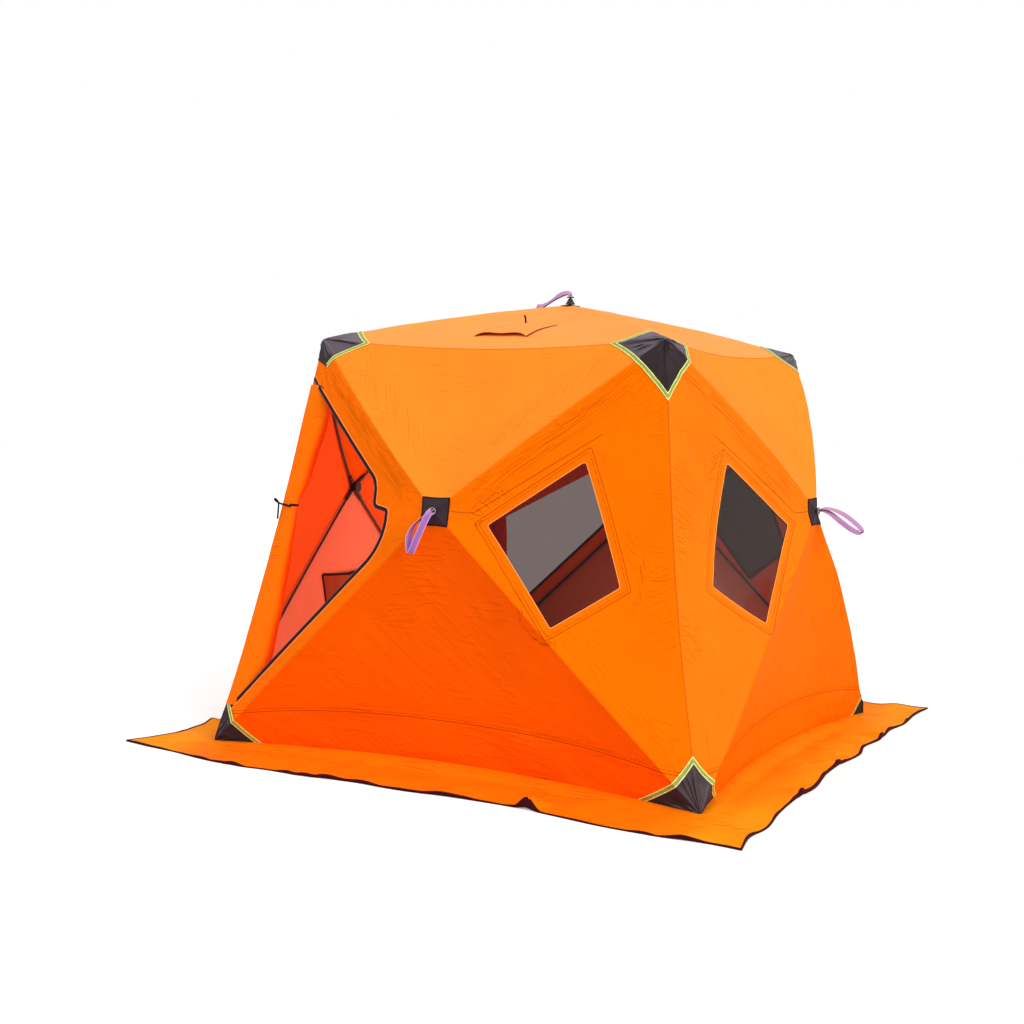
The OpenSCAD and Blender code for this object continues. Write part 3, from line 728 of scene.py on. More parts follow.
def coatedOxford(name, low, side, high, bump=1.0, seams=True, roughness=oxford["roughness"]):
    finish, tree = newFinish(name)
    # painted light and shade: a per-point level picks a paler colour where the cloth faces the light and a
    # deeper one where shade falls
    place = add(tree, "TexCoord", out="Object")
    tone = add(tree, "Attribute", out="Fac", attribute_name="tone")
    cloth = add(tree, "ValToRGB", [tone], stops=[(0.0, low), (0.5, side), (1.0, high)])
    # uneven dye and wear, about 0.3 m across
    patchy = add(tree, "TexNoise", {"Vector": place, "Scale": 3.4, "Detail": 4.0, "Roughness": 0.55})
    shade = add(tree, "MapRange", [patchy, 0.3, 0.7, 0.95, 1.04])
    cloth = add(tree, "HueSaturation", {"Value": shade, "Color": cloth})
    # short straight creases, some 80 mm long, where the cloth has been folded
    turned = add(tree, "Mapping", {"Vector": place, "Rotation": (0.5, 0.6, 0.7), "Scale": (1.0, 5.5, 5.5)})
    crumple = add(tree, "TexNoise", {"Vector": turned, "Scale": 5.0, "Detail": 1.0})
    ridge = ridgeOf(tree, crumple, 0.06)
    some = add(tree, "TexNoise", {"Vector": place, "Scale": 5.5, "Detail": 1.0})
    some = add(tree, "MapRange", [some, 0.50, 0.64, 0.0, 1.0])
    ridge = add(tree, "Math", [ridge, some], operation="MULTIPLY")
    # threads are 0.4 mm apart, too fine to see from here, so they are drawn 9 mm apart
    weave = add(tree, "TexVoronoi", {"Vector": place, "Scale": 1 / oxford["thread"], "Randomness": 0.15})
    height = add(tree, "Math", [weave, 0.0004, 0.0], operation="MULTIPLY_ADD")
    height = add(tree, "Math", [ridge, 0.0019 * bump, height], operation="MULTIPLY_ADD")
    if seams:
        # creases that run along the poles, out from the upright seams and round the windows
        across, onward, strong = [add(tree, "Attribute", out="Fac", attribute_name="crease" + mark)
                                  for mark in ("Across", "Along", "Strong")]
        spread = add(tree, "CombineXYZ", [across, onward])
        crease = add(tree, "TexNoise", {"Vector": spread, "Scale": 1.0, "Detail": 1.5, "Roughness": 0.4})
        crease = ridgeOf(tree, crease, 0.10, interpolation_type="SMOOTHSTEP")
        crease = add(tree, "Math", [crease, strong], operation="MULTIPLY")
        height = add(tree, "Math", [crease, 0.0042 * bump, height], operation="MULTIPLY_ADD")
        # painted highlight: a crease's crest is painted paler, as light catches it
        creaseHighlight = add(tree, "MapRange", [crease, 0.35, 1.0, 1.0, 1.08])
        cloth = add(tree, "HueSaturation", {"Value": creaseHighlight, "Color": cloth})
        # two rows of stitching round each window and above the skirt's band; stitches are 4 mm long
        # and would vanish from here, so each is drawn 14 mm long
        spot = add(tree, "VectorMath", [place, (71.0, 71.0, 53.0)], out="Value", operation="DOT_PRODUCT")
        spot = add(tree, "Math", [spot], operation="FRACT")
        dash = add(tree, "Math", [spot, 0.5, 0.34], operation="COMPARE")
        lines = None
        for mark, at, half in (("trim", 0.023, 0.0013), ("trim", 0.034, 0.0016), ("band", 0.0, 0.0018),
                               ("band", 0.011, 0.0012), ("dart", 0.0, 0.0018)):
            away = add(tree, "Attribute", out="Fac", attribute_name=mark)
            line = add(tree, "Math", [away, at, half], operation="COMPARE")
            if at in (0.023, 0.011):
                line = add(tree, "Math", [line, dash], operation="MULTIPLY")
            lines = line if lines is None else add(tree, "Math", [lines, line], operation="MAXIMUM")
        edge = add(tree, "Attribute", out="Fac", attribute_name="sewn")
        hollow = add(tree, "MapRange", [edge, 0.0, 0.004, 1.0, 0.0])
        lines = add(tree, "Math", [lines, hollow], operation="MAXIMUM")
        share = add(tree, "Math", [lines, 0.62], operation="MULTIPLY")
        cloth = add(tree, "Mix", {0: share, 6: cloth, 7: oxford["seam"]}, out=2, data_type="RGBA")
        height = add(tree, "Math", [lines, -0.0016, height], operation="MULTIPLY_ADD")
        # the doubled cloth round a window stands 1 mm proud as far as its outer stitching
        collar = add(tree, "Attribute", out="Fac", attribute_name="trim")
        collar = add(tree, "MapRange", [collar, 0.036, 0.042, 0.0014, 0.0])
        height = add(tree, "Math", [height, collar], operation="ADD")
    feeds = {"Base Color": cloth, "Roughness": roughness, "Specular IOR Level": oxford["gloss"]}
    endFinish(tree, feeds, height)
    return finish


def plainCloth(name, colour, roughness=0.7, grain=0.004, depth=0.0003, gloss=0.1, dark=0.85, light=1.1,
               skyLitTop=None):
    finish, tree = newFinish(name)
    place = add(tree, "TexCoord", out="Object")
    patchy = add(tree, "TexNoise", {"Vector": place, "Scale": 9.0, "Detail": 4.0})
    shade = add(tree, "MapRange", [patchy, 0.3, 0.7, dark, light])
    cloth = add(tree, "HueSaturation", {"Value": shade, "Color": colour})
    if skyLitTop:  # painted light: the sides that face up are painted paler, as the sky lights them
        facing = add(tree, "SeparateXYZ", [add(tree, "NewGeometry", out="Normal")], out="Z")
        share = add(tree, "MapRange", [facing, 0.25, 0.85, 0.0, 1.0])
        cloth = add(tree, "Mix", {0: share, 6: cloth, 7: skyLitTop}, out=2, data_type="RGBA")
    weave = add(tree, "TexVoronoi", {"Vector": place, "Scale": 1 / grain, "Randomness": 0.2})
    height = add(tree, "Math", [weave, depth], operation="MULTIPLY")
    endFinish(tree, {"Base Color": cloth, "Roughness": roughness, "Specular IOR Level": gloss}, height, 0.8)
    return finish


wallCloth = coatedOxford("coated orange oxford cloth", oxford["low"], oxford["side"], oxford["high"])
# the roof and the vent hoods are painted paler: a painted reflection of the sky
roofCloth = coatedOxford("roof oxford cloth with painted sky sheen", *[oxford["paintedSkySheen"]] * 3, 0.7)
hoodCloth = coatedOxford("vent oxford cloth", *[oxford["paintedSkySheen"]] * 3, 0.7, False)
# painted light: the skirt's deeper colour stands for shade by the front and back walls, its paler ones for
# light at the sides
skirtCloth = coatedOxford("skirt oxford cloth", "#FF7A06", "#FF8A0C", "#FF9A14", 2.4, False)
# painted shade: deeper red where the rolled cloth turns in, bright at the roll's crown
doorCloth = coatedOxford("rolled oxford cloth", "#E03A02", "#FA5402", "#FF7408", 1.0, False)
# the coated side: smooth and even, paler low down where light comes through the walls
lining = coatedOxford("orange coated lining", "#E88460", "#EC5E20", "#EA5A06", 0.3, False, 0.7)
# painted shade: the skirts' undersides and the vent hoods' side hems are painted maroon, as shade falls under
# them
shadeUnderside = plainCloth("maroon underside painted as shade", "#8A1C16")
# its tops are painted paler: painted sky light
blackCloth = plainCloth("heavy black nylon", "#32272A", 0.6, 0.005, 0.0004, 0.1, 0.8, 1.15, "#6E636C")
binding = plainCloth("black grosgrain binding", "#2C1014", 0.75, 0.004, 0.0004)
patchCloth = plainCloth("black patch nylon", "#3A2C32", 0.65, 0.005, 0.0004)
# painted highlight: the folded hems at the windows and zips are painted paler than the cloth, as light
# catches the fold
hemHighlightCloth = plainCloth("folded orange hem with painted highlight", "#FF9A50", 0.65, 0.004, 0.0003, 0.1, 0.95, 1.05)
skirtBinding = plainCloth("maroon black skirt binding", "#3E1012", 0.75, 0.004, 0.0004, 0.05)
pocketCloth = plainCloth("brown pocket mesh", "#A04420", 0.8, 0.005, 0.0006)


def reflectiveTape():  # woven tape with glass beads: a green middle and pale yellow edges
    finish, tree = newFinish("reflective tape")
    across = add(tree, "Attribute", out="Fac", attribute_name="across")
    place = add(tree, "TexCoord", out="Object")
    stripes = add(tree, "ValToRGB", [across], stops=[
        (0.0, "#DCE46E"), (0.18, "#F0F088"), (0.24, "#768C3A"), (0.50, "#93A850"), (0.74, "#768C3A"),
        (0.80, "#F0F088"), (1.0, "#DCD860")])
    ribs = add(tree, "TexNoise", {"Vector": place, "Scale": 160.0, "Detail": 1.0})
    shade = add(tree, "MapRange", [ribs, 0.35, 0.65, 0.78, 1.15])
    colour = add(tree, "HueSaturation", {"Value": shade, "Color": stripes})
    height = add(tree, "Math", [ribs, 0.0008], operation="MULTIPLY")
    endFinish(tree, {"Base Color": colour, "Roughness": 0.5}, height, 0.6)
    return finish


def purpleWebbing():  # flat woven polypropylene, pale along its edges
    finish, tree = newFinish("lilac polypropylene webbing")
    across = add(tree, "Attribute", out="Fac", attribute_name="across")
    run = add(tree, "Attribute", out="Fac", attribute_name="run")
    colour = add(tree, "ValToRGB", [across], stops=[
        (0.0, "#D9B4DC"), (0.12, "#A569B4"), (0.5, "#965AAC"), (0.88, "#A569B4"), (1.0, "#D9B4DC")])
    # painted light: the sides that face up are painted paler, as the sky lights them
    facing = add(tree, "SeparateXYZ", [add(tree, "NewGeometry", out="Normal")], out="Z")
    skyLitShare = add(tree, "MapRange", [facing, 0.30, 0.85, 0.0, 0.75])
    colour = add(tree, "Mix", {0: skyLitShare, 6: colour, 7: "#D2A2BC"}, out=2, data_type="RGBA")
    # herringbone ribs are 1.2 mm apart and are drawn 5 mm apart
    lean = add(tree, "Math", [across, 0.5], operation="SUBTRACT")
    lean = add(tree, "Math", [lean], operation="ABSOLUTE")
    lean = add(tree, "Math", [run, 200.0, lean], operation="MULTIPLY_ADD")
    rib = add(tree, "Math", [lean, 0.5], operation="PINGPONG")
    shade = add(tree, "MapRange", [rib, 0.0, 0.5, 0.86, 1.1])
    colour = add(tree, "HueSaturation", {"Value": shade, "Color": colour})
    height = add(tree, "Math", [rib, 0.0012], operation="MULTIPLY")
    endFinish(tree, {"Base Color": colour, "Roughness": 0.6}, height, 0.6)
    return finish


def tintedFilm():  # soft clear vinyl with a grey tint: dark see-through, with a weak shine
    finish, tree = newFinish("tinted vinyl film")
    clear = add(tree, "BsdfTransparent", ["#A49C9A"])
    gloss = add(tree, "BsdfGlossy", ["#FFFFFF", 0.12])
    share = add(tree, "Fresnel", {"IOR": 1.35})
    share = add(tree, "Math", [share, 0.3], operation="MULTIPLY")
    shader = add(tree, "MixShader", [share, clear, gloss])
    add(tree, "OutputMaterial", [shader])
    return finish


def mouldedNylon(name, colour, roughness):  # glass filled nylon: dull black with a fine moulded grain
    finish, tree = newFinish(name)
    place = add(tree, "TexCoord", out="Object")
    grain = add(tree, "TexNoise", {"Vector": place, "Scale": 420.0, "Detail": 2.0})
    shade = add(tree, "MapRange", [grain, 0.3, 0.7, 0.85, 1.15])
    colour = add(tree, "HueSaturation", {"Value": shade, "Color": colour})
    height = add(tree, "Math", [grain, 0.0004], operation="MULTIPLY")
    endFinish(tree, {"Base Color": colour, "Roughness": roughness}, height, 0.5)
    return finish


def zincPlate():  # zinc plated steel: grey, satin, slightly uneven
    finish, tree = newFinish("zinc plated steel")
    place = add(tree, "TexCoord", out="Object")
    cloudy = add(tree, "TexNoise", {"Vector": place, "Scale": 60.0, "Detail": 3.0})
    rough = add(tree, "MapRange", [cloudy, 0.3, 0.7, 0.28, 0.45])
    shader = add(tree, "BsdfPrincipled", {"Base Color": "#A9A7A6", "Metallic": 1.0, "Roughness": rough})
    add(tree, "OutputMaterial", [shader])
    return finish


tape = reflectiveTape()
webbing = purpleWebbing()
film = tintedFilm()
hubNylon = mouldedNylon("moulded black nylon", "#161114", 0.5)
poleGlass = mouldedNylon("black glass fibre rod", "#18171A", 0.3)
steel = zincPlate()
zipCoil = mouldedNylon("black nylon zip coil", "#2A1216", 0.5)
meshScreen = plainCloth("dark insect mesh", "#4A1A10", 0.8, 0.003, 0.0006)
print("finishes are made")

# walls and roof
depth = lattice["clothDepth"]
sheetSizes = dict(wall=(hut["base"], 1.86), roof=(1.62, 1.62))
ventHole = dict(wide=0.144, long=0.142, out=0.785 - 0.082 - 0.1425)


def onWallPlane(p, data):
    return data[:, :2] if p == roof else np.column_stack([data[:, :3] @ along(p), data[:, 2]])


def openings(p):
    if p == roof:
        w = ventHole["wide"] / 2
        h = ventHole["long"] / 2
        box = np.array([(-w, -h), (w, -h), (w, h), (-w, h)])
        return [box + (0, -ventHole["out"]), box + (0, ventHole["out"])]
    holes = [handed(windowLine, windowHand[p])]
    if p in doorHand:
        holes.append(handed(doorLine, doorHand[p]))
    return holes


# Narrow creases are left to the cloth's bump: places across and along them, and how strong they are.
def creaseMarks(k, u, z, toEdge, upright, apart):
    aside = np.abs(u)
    hand = np.sign(u)
    zones = []
    for n, end in enumerate((facetTop, facetBase)):
        run, out = besidePole(end, aside, z)
        out = out * (1, -1)[n]
        bend = softNoise(run / 0.35 + 9, hand * 3 + 9, 500 + n)
        strong = (1.0, 0.35)[n] * np.exp(-((out - 0.050) / 0.050) ** 2) * smooth((run - 0.06) / 0.15)
        zones.append((strong, out / 0.015 + bend + 40, run / 0.26 + 7 * hand + 30 + 3 * k))
        strong = (0.55, 0.25)[n] * np.exp(-((out + 0.085) / 0.060) ** 2) * smooth((run - 0.10) / 0.2)
        zones.append((strong, (out + 0.35 * run) / 0.022 + 70, run / 0.16 + 7 * hand + 60 + 3 * k))
    some = smooth(0.4 + 1.6 * softNoise(z / 0.20 + 5, 3 * hand + 10, 510 + k))
    strong = 0.9 * upright * some * np.exp(-((toEdge - 0.03) / 0.08) ** 2)
    zones.append((strong, (z + 0.6 * toEdge) / 0.026 + 20, toEdge / 0.10 + 7 * hand + 10 + 3 * k))
    some = smooth(0.2 + 1.8 * softNoise(u / 0.16 + 9, z / 0.16 + 4, 520 + k))
    strong = 1.1 * some * np.exp(-((apart - 0.062) / 0.026) ** 2)
    zones.append((strong, (0.9 * z + 0.45 * aside) / 0.022 + 20, apart / 0.07 + 5 + 3 * k))
    strong = 0.6 * np.exp(-np.abs(z - bandHeight(u)) / 0.030)
    zones.append((strong, (u + 0.4 * z) / 0.020 + 80, z / 0.07 + 5))
    strong = 0.28 * (1 - upright) * (z < facetHub[1])
    zones.append((strong, (0.75 * u + z) / 0.060 + 30, (u - 0.7 * z) / 0.40 + 30 + k))
    strong, across, onward = np.array(zones).swapaxes(0, 1)
    best = np.argmax(strong, axis=0), np.arange(len(u))
    strong = np.sort(strong, axis=0)
    return {"creaseAcross": across[best], "creaseAlong": onward[best],
            "creaseStrong": (strong[-1] - strong[-2]) * smooth(toEdge / 0.02)}


# a sewn fold that leaves the hub patch and crosses the facet: (right, up) from the hub
dartRun = np.array([(0.070, 0), (0.150, -0.003), (0.590, 0.305)])


def panelMarks(p, data):
    flat = onWallPlane(p, data)
    tone = data[:, 5]
    if p == right:  # painted light: this wall's bottom and side facets are painted paler, as the sun lights them
        tone = tone + 0.5 * (1 - tone) ** 2
    marks = {"tone": tone, "sewn": data[:, 3]}
    if p == roof:
        far = np.full(len(data), 1.0)
        return {**marks, "trim": far, "band": far, "dart": far}
    window = handed(windowLine, windowHand[p])
    dart = handed(facetHub + dartRun, windowHand[p])
    trim = mitredFrom(flat, handed(windowCut["corners"], windowHand[p]))
    creases = creaseMarks(p, *flat.T, data[:, 3], data[:, 4], outsideBy(flat, window))
    return {**marks, **creases, "trim": trim, "band": flat[:, 1] - bandHeight(flat[:, 0]),
            "dart": fromLine(flat, dart)}


def markedShell(p, data, tris, top):
    points, faces, kinds = thickened(data[:, :3], tris, top, top - depth)
    return points, faces, {mark: np.tile(v, 2) for mark, v in panelMarks(p, data).items()}, kinds


def sewPanel(p, name, outer):
    data, tris = fans[p]
    for hole in openings(p):
        data, tris = cutAway(data, tris, outsideBy(onWallPlane(p, data), hole))
    piece = makePiece(name + "_cloth", markedShell(p, data, tris, 0.0), [outer, lining], [name])
    return piece, oneSide(piece)


for p in range(5):
    name = panels[p] if p == roof else panels[p] + "_wall"
    wide, tall = sheetSizes["roof" if p == roof else "wall"]
    piece, area = sewPanel(p, name, roofCloth if p == roof else wallCloth)
print("walls and roof are sewn")

# windows: a film behind each opening, a bound frame inside and a folded hem at the edge
windowParts = dict(filmEdge=0.014, filmIn=0.0016, filmThick=0.0004, frameWide=0.018, frameIn=0.0022,
                   frameThick=0.0014, hemWide=0.0034, hemThick=0.0010, gap=0.009, flat=(0.62, 0.45))


def offsetLoop(loop, away, closed=True):  # the outline moved outward by a distance
    n = len(loop)
    area = sum(loop[i - 1][0] * loop[i][1] - loop[i][0] * loop[i - 1][1] for i in range(n))
    step = tangents(loop, closed)
    side = np.stack([step[:, 1], -step[:, 0]], axis=1) * (1 if area > 0 else -1)
    return loop + side * away


# A flat band that runs along an outline on the cloth: its middle lies `away` outside the outline.
def bandOn(p, loop, away, width, low, high, gap, closed=True):
    path = evenly(offsetLoop(loop, away, closed) if away else loop, gap, closed)
    points, normals = onCloth(p, path)
    normals = eased(normals, closed)
    sideways = unit(np.cross(tangents(points, closed), normals))
    w = width / 2
    e = min(0.3 * (high - low), w * 0.5)
    half = [(-w, low), (-w, high - e), (-w + e, high)]
    return bar(points, sideways, normals, half + [(-x, y) for x, y in half[::-1]], closed)


for k in range(4):
    w = windowParts
    hand = windowHand[k]
    loop = handed(windowLine, hand)
    data, tris = fans[k]
    data, tris = cutAway(data, tris, w["filmEdge"] - outsideBy(onWallPlane(k, data), loop))
    points, faces, kinds = thickened(data[:, :3], tris, -w["filmIn"], -w["filmIn"] - w["filmThick"])
    pane = makePiece(walls[k] + "_window_film", (points, faces, {}, kinds), [film, film],
                     [walls[k] + "_window"])
    frameBack = -w["frameIn"] - w["frameThick"]
    surround = bandOn(k, loop, w["frameWide"] / 2, w["frameWide"], frameBack, -w["frameIn"], w["gap"])
    makePiece(walls[k] + "_window_binding", surround, [binding])
    hem = bandOn(k, loop, w["hemWide"] / 2 - 0.001, w["hemWide"], 0.0, w["hemThick"], w["gap"])
    makePiece(walls[k] + "_window_hem", hem, [hemHighlightCloth])
print("windows are in")

# door openings: a zip with its tape all round, and a narrow folded hem beside it
# bands along the zip: distance from its line, width, low and high face
zipParts = dict(gap=0.010, tape=(-0.004, 0.014, -0.0008, 0.0012), coil=(-0.0105, 0.0045, -0.0012, 0.0026),
                hem=(0.006, 0.004, 0.0, 0.0010))
for k, hand in doorHand.items():
    loop = handed(zipPath(), hand)
    parts = [(bandOn(k, loop, *zipParts[part], zipParts["gap"], False), (kind,))
             for kind, part in enumerate(("tape", "coil", "hem"))]
    makePiece(walls[k] + "_door_zip", join(parts), [binding, zipCoil, hemHighlightCloth])
print("door zips are in")

# corner caps and gussets: black nylon over each corner, edged with reflective tape
capParts = dict(eave=0.232, pole=0.138, drop=0.240, roofPole=0.170, rings=22, steps=18, low=0.0008,
                thick=0.0014, tapeFrom=0.872, tapeTo=1.008, tapeThick=0.0009, fold=0.0050, ridge=0.0024,
                frontLeftTip=(0.739, 0.694), frontLeftDrop=0.093, flat=(0.42, 0.38))
gussetParts = dict(hems=(0.226, 0.262, 0.140, 0.226), pole=0.148, rise=0.200, rings=20, steps=20,
                   low=0.0008, thick=0.0014, tapeFrom=0.865, tapeTo=1.010, tapeThick=0.0009, fold=0.0046,
                   ridge=0.0015, flat=(0.46, 0.21))


# A triangle of cloth between a sewn edge and a pole, both leaving one corner of a panel.
def sector(p, j, atEnd, edgeReach, poleReach, poleFirst, tip=None):
    end = sewnEdge(p, j, np.array([1.0 if atEnd else 0.0]))[0]
    poleShare = poleReach / norm(end - hubPoint(p))
    edge = sewnEdge(p, j, np.linspace(0, 1, 41))
    edgeShare = edgeReach / norm(np.diff(edge, axis=0), axis=1).sum()

    outline = np.array([(1, 0), tip, (0, 1)] if tip else [(1, 0), (0, 1)])

    def place(r, swing):
        f = (1 - swing if poleFirst else swing) * (len(outline) - 1)
        t = np.interp(f, range(len(outline)), outline[:, 0]) * r * edgeShare
        s = 1 - np.interp(f, range(len(outline)), outline[:, 1]) * r * poleShare
        return clothAt(p, j, s, 1 - t if atEnd else t)
    return place


def fanOut(sectors, reaches, steps, closed):
    swing = np.arange(steps) / steps
    rows = []
    for r in reaches:
        parts = [place(r, swing) for place in sectors]
        if not closed:
            parts.append(sectors[-1](r, np.ones(1)))
        rows.append(np.vstack(parts))
    return np.array(rows)


# The cloth of a cap with its folds, and the tape round its edge.
def edgedPatch(c, kind, sectors, size, closed, seed, bare=None):
    node = corners[c] + kind
    reaches = np.linspace(0, 1, size["rings"]) ** 0.9
    net = fanOut(sectors, reaches, size["steps"], closed)
    turn = np.arange(net.shape[1])[None, :] / size["steps"]
    r = reaches[:, None]
    crease = 1 - np.abs(softNoise(turn * 3.1 + 5, r * 1.4 + 3, seed))
    rise = size["fold"] * np.clip(crease - 0.62, 0, 1) * 2.6
    if closed:  # the folds meet where the fan closes on itself
        rise = rise * smooth(np.minimum(turn, len(sectors) - turn) / 0.15)
    near = np.abs(turn - np.round(turn))
    rise = rise + size["ridge"] * np.exp(-(near / 0.10) ** 2)
    rise = rise * smooth(r / 0.12) * smooth((size["tapeFrom"] - r) / 0.22)
    top = size["low"] + size["thick"]
    cloth = shellOver(net, top + rise, size["low"] + rise * 0.9, closed=closed)
    taped = fanOut(sectors, np.linspace(size["tapeFrom"], size["tapeTo"], 7), size["steps"], closed)
    if bare:  # the tape stops where the cap's edge is turned under
        first, last = [int(round(at * size["steps"])) for at in bare]
        taped = np.roll(taped, -last, axis=1)[:, :taped.shape[1] - (last - first) + 1]
    edge = shellOver(taped, top + size["tapeThick"], top - 0.0005, closed=closed and not bare)
    piece = makePiece(node + "_cloth", join([(cloth, (0, 0)), (edge, (1, 1))]), [blackCloth, tape],
                      [node])


for c in range(4):
    size = capParts
    last = (c + 3) % 4
    tip = size["frontLeftTip"] if c == 0 else None
    drop = size["frontLeftDrop"] if c == 0 else size["drop"]
    sectors = [sector(roof, (4 - c) % 4, True, size["eave"], size["roofPole"], True),
               sector(c, 0, False, size["eave"], size["pole"], False),
               sector(c, 3, True, drop, size["pole"], True, tip),
               sector(last, 1, False, drop, size["pole"], False),
               sector(last, 0, True, size["eave"], size["pole"], True),
               sector(roof, (4 - last) % 4, False, size["eave"], size["roofPole"], False)]
    edgedPatch(c, "_cap", sectors, size, True, 160 + c, (2.5, 3.0) if tip else None)
    size = gussetParts
    sectors = [sector(c, 2, True, size["hems"][c], size["pole"], False),
               sector(c, 3, False, size["rise"], size["pole"], True),
               sector(last, 1, True, size["rise"], size["pole"], False),
               sector(last, 2, False, size["hems"][c], size["pole"], True)]
    edgedPatch(c, "_gusset", sectors, size, False, 170 + c)
print("caps and gussets are on")

# hub patches: four quarters of black nylon, bound all round, with a ring where the bolt comes out
patchParts = dict(reach=0.086, roofReach=0.046, rings=12, steps=14, low=0.0006, thick=0.0014,
                  boundFrom=0.86, boundThick=0.0009, wide=0.124, roofWide=0.066)
ringParts = dict(radius=0.0125, tube=0.0019, high=0.0085, roofHigh=0.0365)


def ringOf(centre, axis, radius, tube, around=36, sides=10):  # a closed ring of round wire
    side = unit(np.cross(axis, up) if abs(axis[2]) < 0.9 else np.array([1.0, 0.0, 0.0]))
    other = np.cross(axis, side)
    turn = np.arange(around) * 2 * math.pi / around
    spoke = np.cos(turn)[:, None] * side + np.sin(turn)[:, None] * other
    return bar(centre + spoke * radius, spoke, axis, rod(tube, sides), True)


for p in range(5):
    size = patchParts
    rows = []
    reach = size["roofReach"] if p == roof else size["reach"]
    f = np.arange(size["steps"]) / size["steps"]
    for r in np.linspace(0, 1, size["rings"]):
        for j in range(4):
            near, far = [reach / norm(sewnEdge(p, j, at)[0] - hubPoint(p))
                         for at in (np.zeros(1), np.ones(1))]
            share = near * (1 - f) + far * f
            rows.append(clothAt(p, j, share * r, far * f / share))
    net = np.array(rows).reshape(size["rings"], 4 * size["steps"], 3)
    turn = np.arange(4 * size["steps"])[None, :] / size["steps"]
    seam = 0.0007 * np.exp(-((turn - np.round(turn)) / 0.06) ** 2)
    seam = seam * np.linspace(0, 1, size["rings"])[:, None] ** 0.5
    top = size["low"] + size["thick"]
    cloth = shellOver(net, top + seam, size["low"], closed=True)
    bound = int(size["boundFrom"] * size["rings"])
    border = shellOver(net[bound:], top + size["boundThick"], top - 0.0004, closed=True)
    node = panels[p] + "_hub_patch"
    piece = makePiece(node + "_cloth", join([(cloth, (0, 0)), (border, (1, 1))]), [patchCloth, binding],
                      [node])
    wide = size["roofWide"] if p == roof else size["wide"]
print("hub patches are on")

# pull loops of lilac webbing, as places and width directions: sideways, out and up from the hub
loopParts = dict(width=0.026, depth=0.0018, count=90)
loopRuns = dict(
    hanging=[
        ((0.000, 0.006, 0.004), (0.80, -0.39, -0.43)), ((-0.008, 0.026, -0.012), (0.80, -0.39, -0.43)),
        ((-0.020, 0.048, -0.055), (0.80, -0.39, -0.43)), ((-0.036, 0.062, -0.105), (0.80, -0.42, -0.38)),
        ((-0.052, 0.068, -0.148), (0.84, -0.40, -0.30)), ((-0.061, 0.066, -0.160), (0.88, -0.36, -0.24)),
        ((-0.070, 0.061, -0.149), (0.86, -0.42, -0.24)), ((-0.076, 0.056, -0.110), (0.60, -0.76, -0.12)),
        ((-0.066, 0.047, -0.066), (0.20, -0.95, 0.10)), ((-0.038, 0.031, -0.028), (0.12, -0.92, 0.35)),
        ((-0.012, 0.014, -0.004), (0.14, -0.90, 0.42)), ((0.000, 0.004, 0.006), (0.20, -0.88, 0.42))],
    reaching=[
        ((0.000, 0.004, 0.002), (0.90, 0.10, 0.20)), ((0.000, 0.026, 0.013), (0.95, 0.05, 0.25)),
        ((0.004, 0.062, 0.011), (0.90, 0.00, 0.42)), ((0.010, 0.108, -0.006), (0.80, 0.18, 0.56)),
        ((0.014, 0.150, -0.034), (0.78, 0.26, 0.56)), ((0.012, 0.180, -0.058), (0.80, 0.26, 0.52)),
        ((0.004, 0.191, -0.074), (0.84, 0.20, 0.48)), ((-0.004, 0.180, -0.080), (0.78, 0.26, 0.55)),
        ((-0.010, 0.150, -0.066), (0.62, 0.42, 0.66)), ((-0.008, 0.104, -0.036), (0.60, 0.46, 0.64)),
        ((-0.002, 0.058, -0.006), (0.80, 0.20, 0.50)), ((0.000, 0.024, 0.004), (0.90, 0.05, 0.35)),
        ((0.000, 0.004, -0.001), (0.90, 0.10, 0.20))],
    lying=[
        ((0.000, 0.000, 0.036), (0.10, 0.98, -0.10)), ((-0.003, 0.000, 0.051), (0.15, 0.90, 0.35)),
        ((-0.022, -0.002, 0.056), (0.10, 0.72, 0.68)), ((-0.058, -0.004, 0.044), (0.10, 0.62, 0.78)),
        ((-0.100, -0.004, 0.018), (0.05, 0.80, 0.60)), ((-0.140, -0.002, -0.002), (0.00, 0.66, 0.74)),
        ((-0.164, 0.000, -0.004), (0.00, 0.60, 0.80)), ((-0.168, 0.003, -0.008), (0.00, 0.60, 0.80)),
        ((-0.142, 0.005, -0.008), (0.00, 0.66, 0.74)), ((-0.102, 0.004, 0.012), (0.05, 0.80, 0.60)),
        ((-0.058, 0.004, 0.038), (0.10, 0.64, 0.76)), ((-0.023, 0.004, 0.050), (0.10, 0.74, 0.66)),
        ((-0.006, 0.003, 0.046), (0.15, 0.92, 0.30)), ((0.000, 0.002, 0.035), (0.10, 0.98, -0.10))])
loopKinds = {front: ("hanging", 1), right: ("reaching", 1), back: ("reaching", -1), left: ("hanging", -1),
             roof: ("lying", 1)}


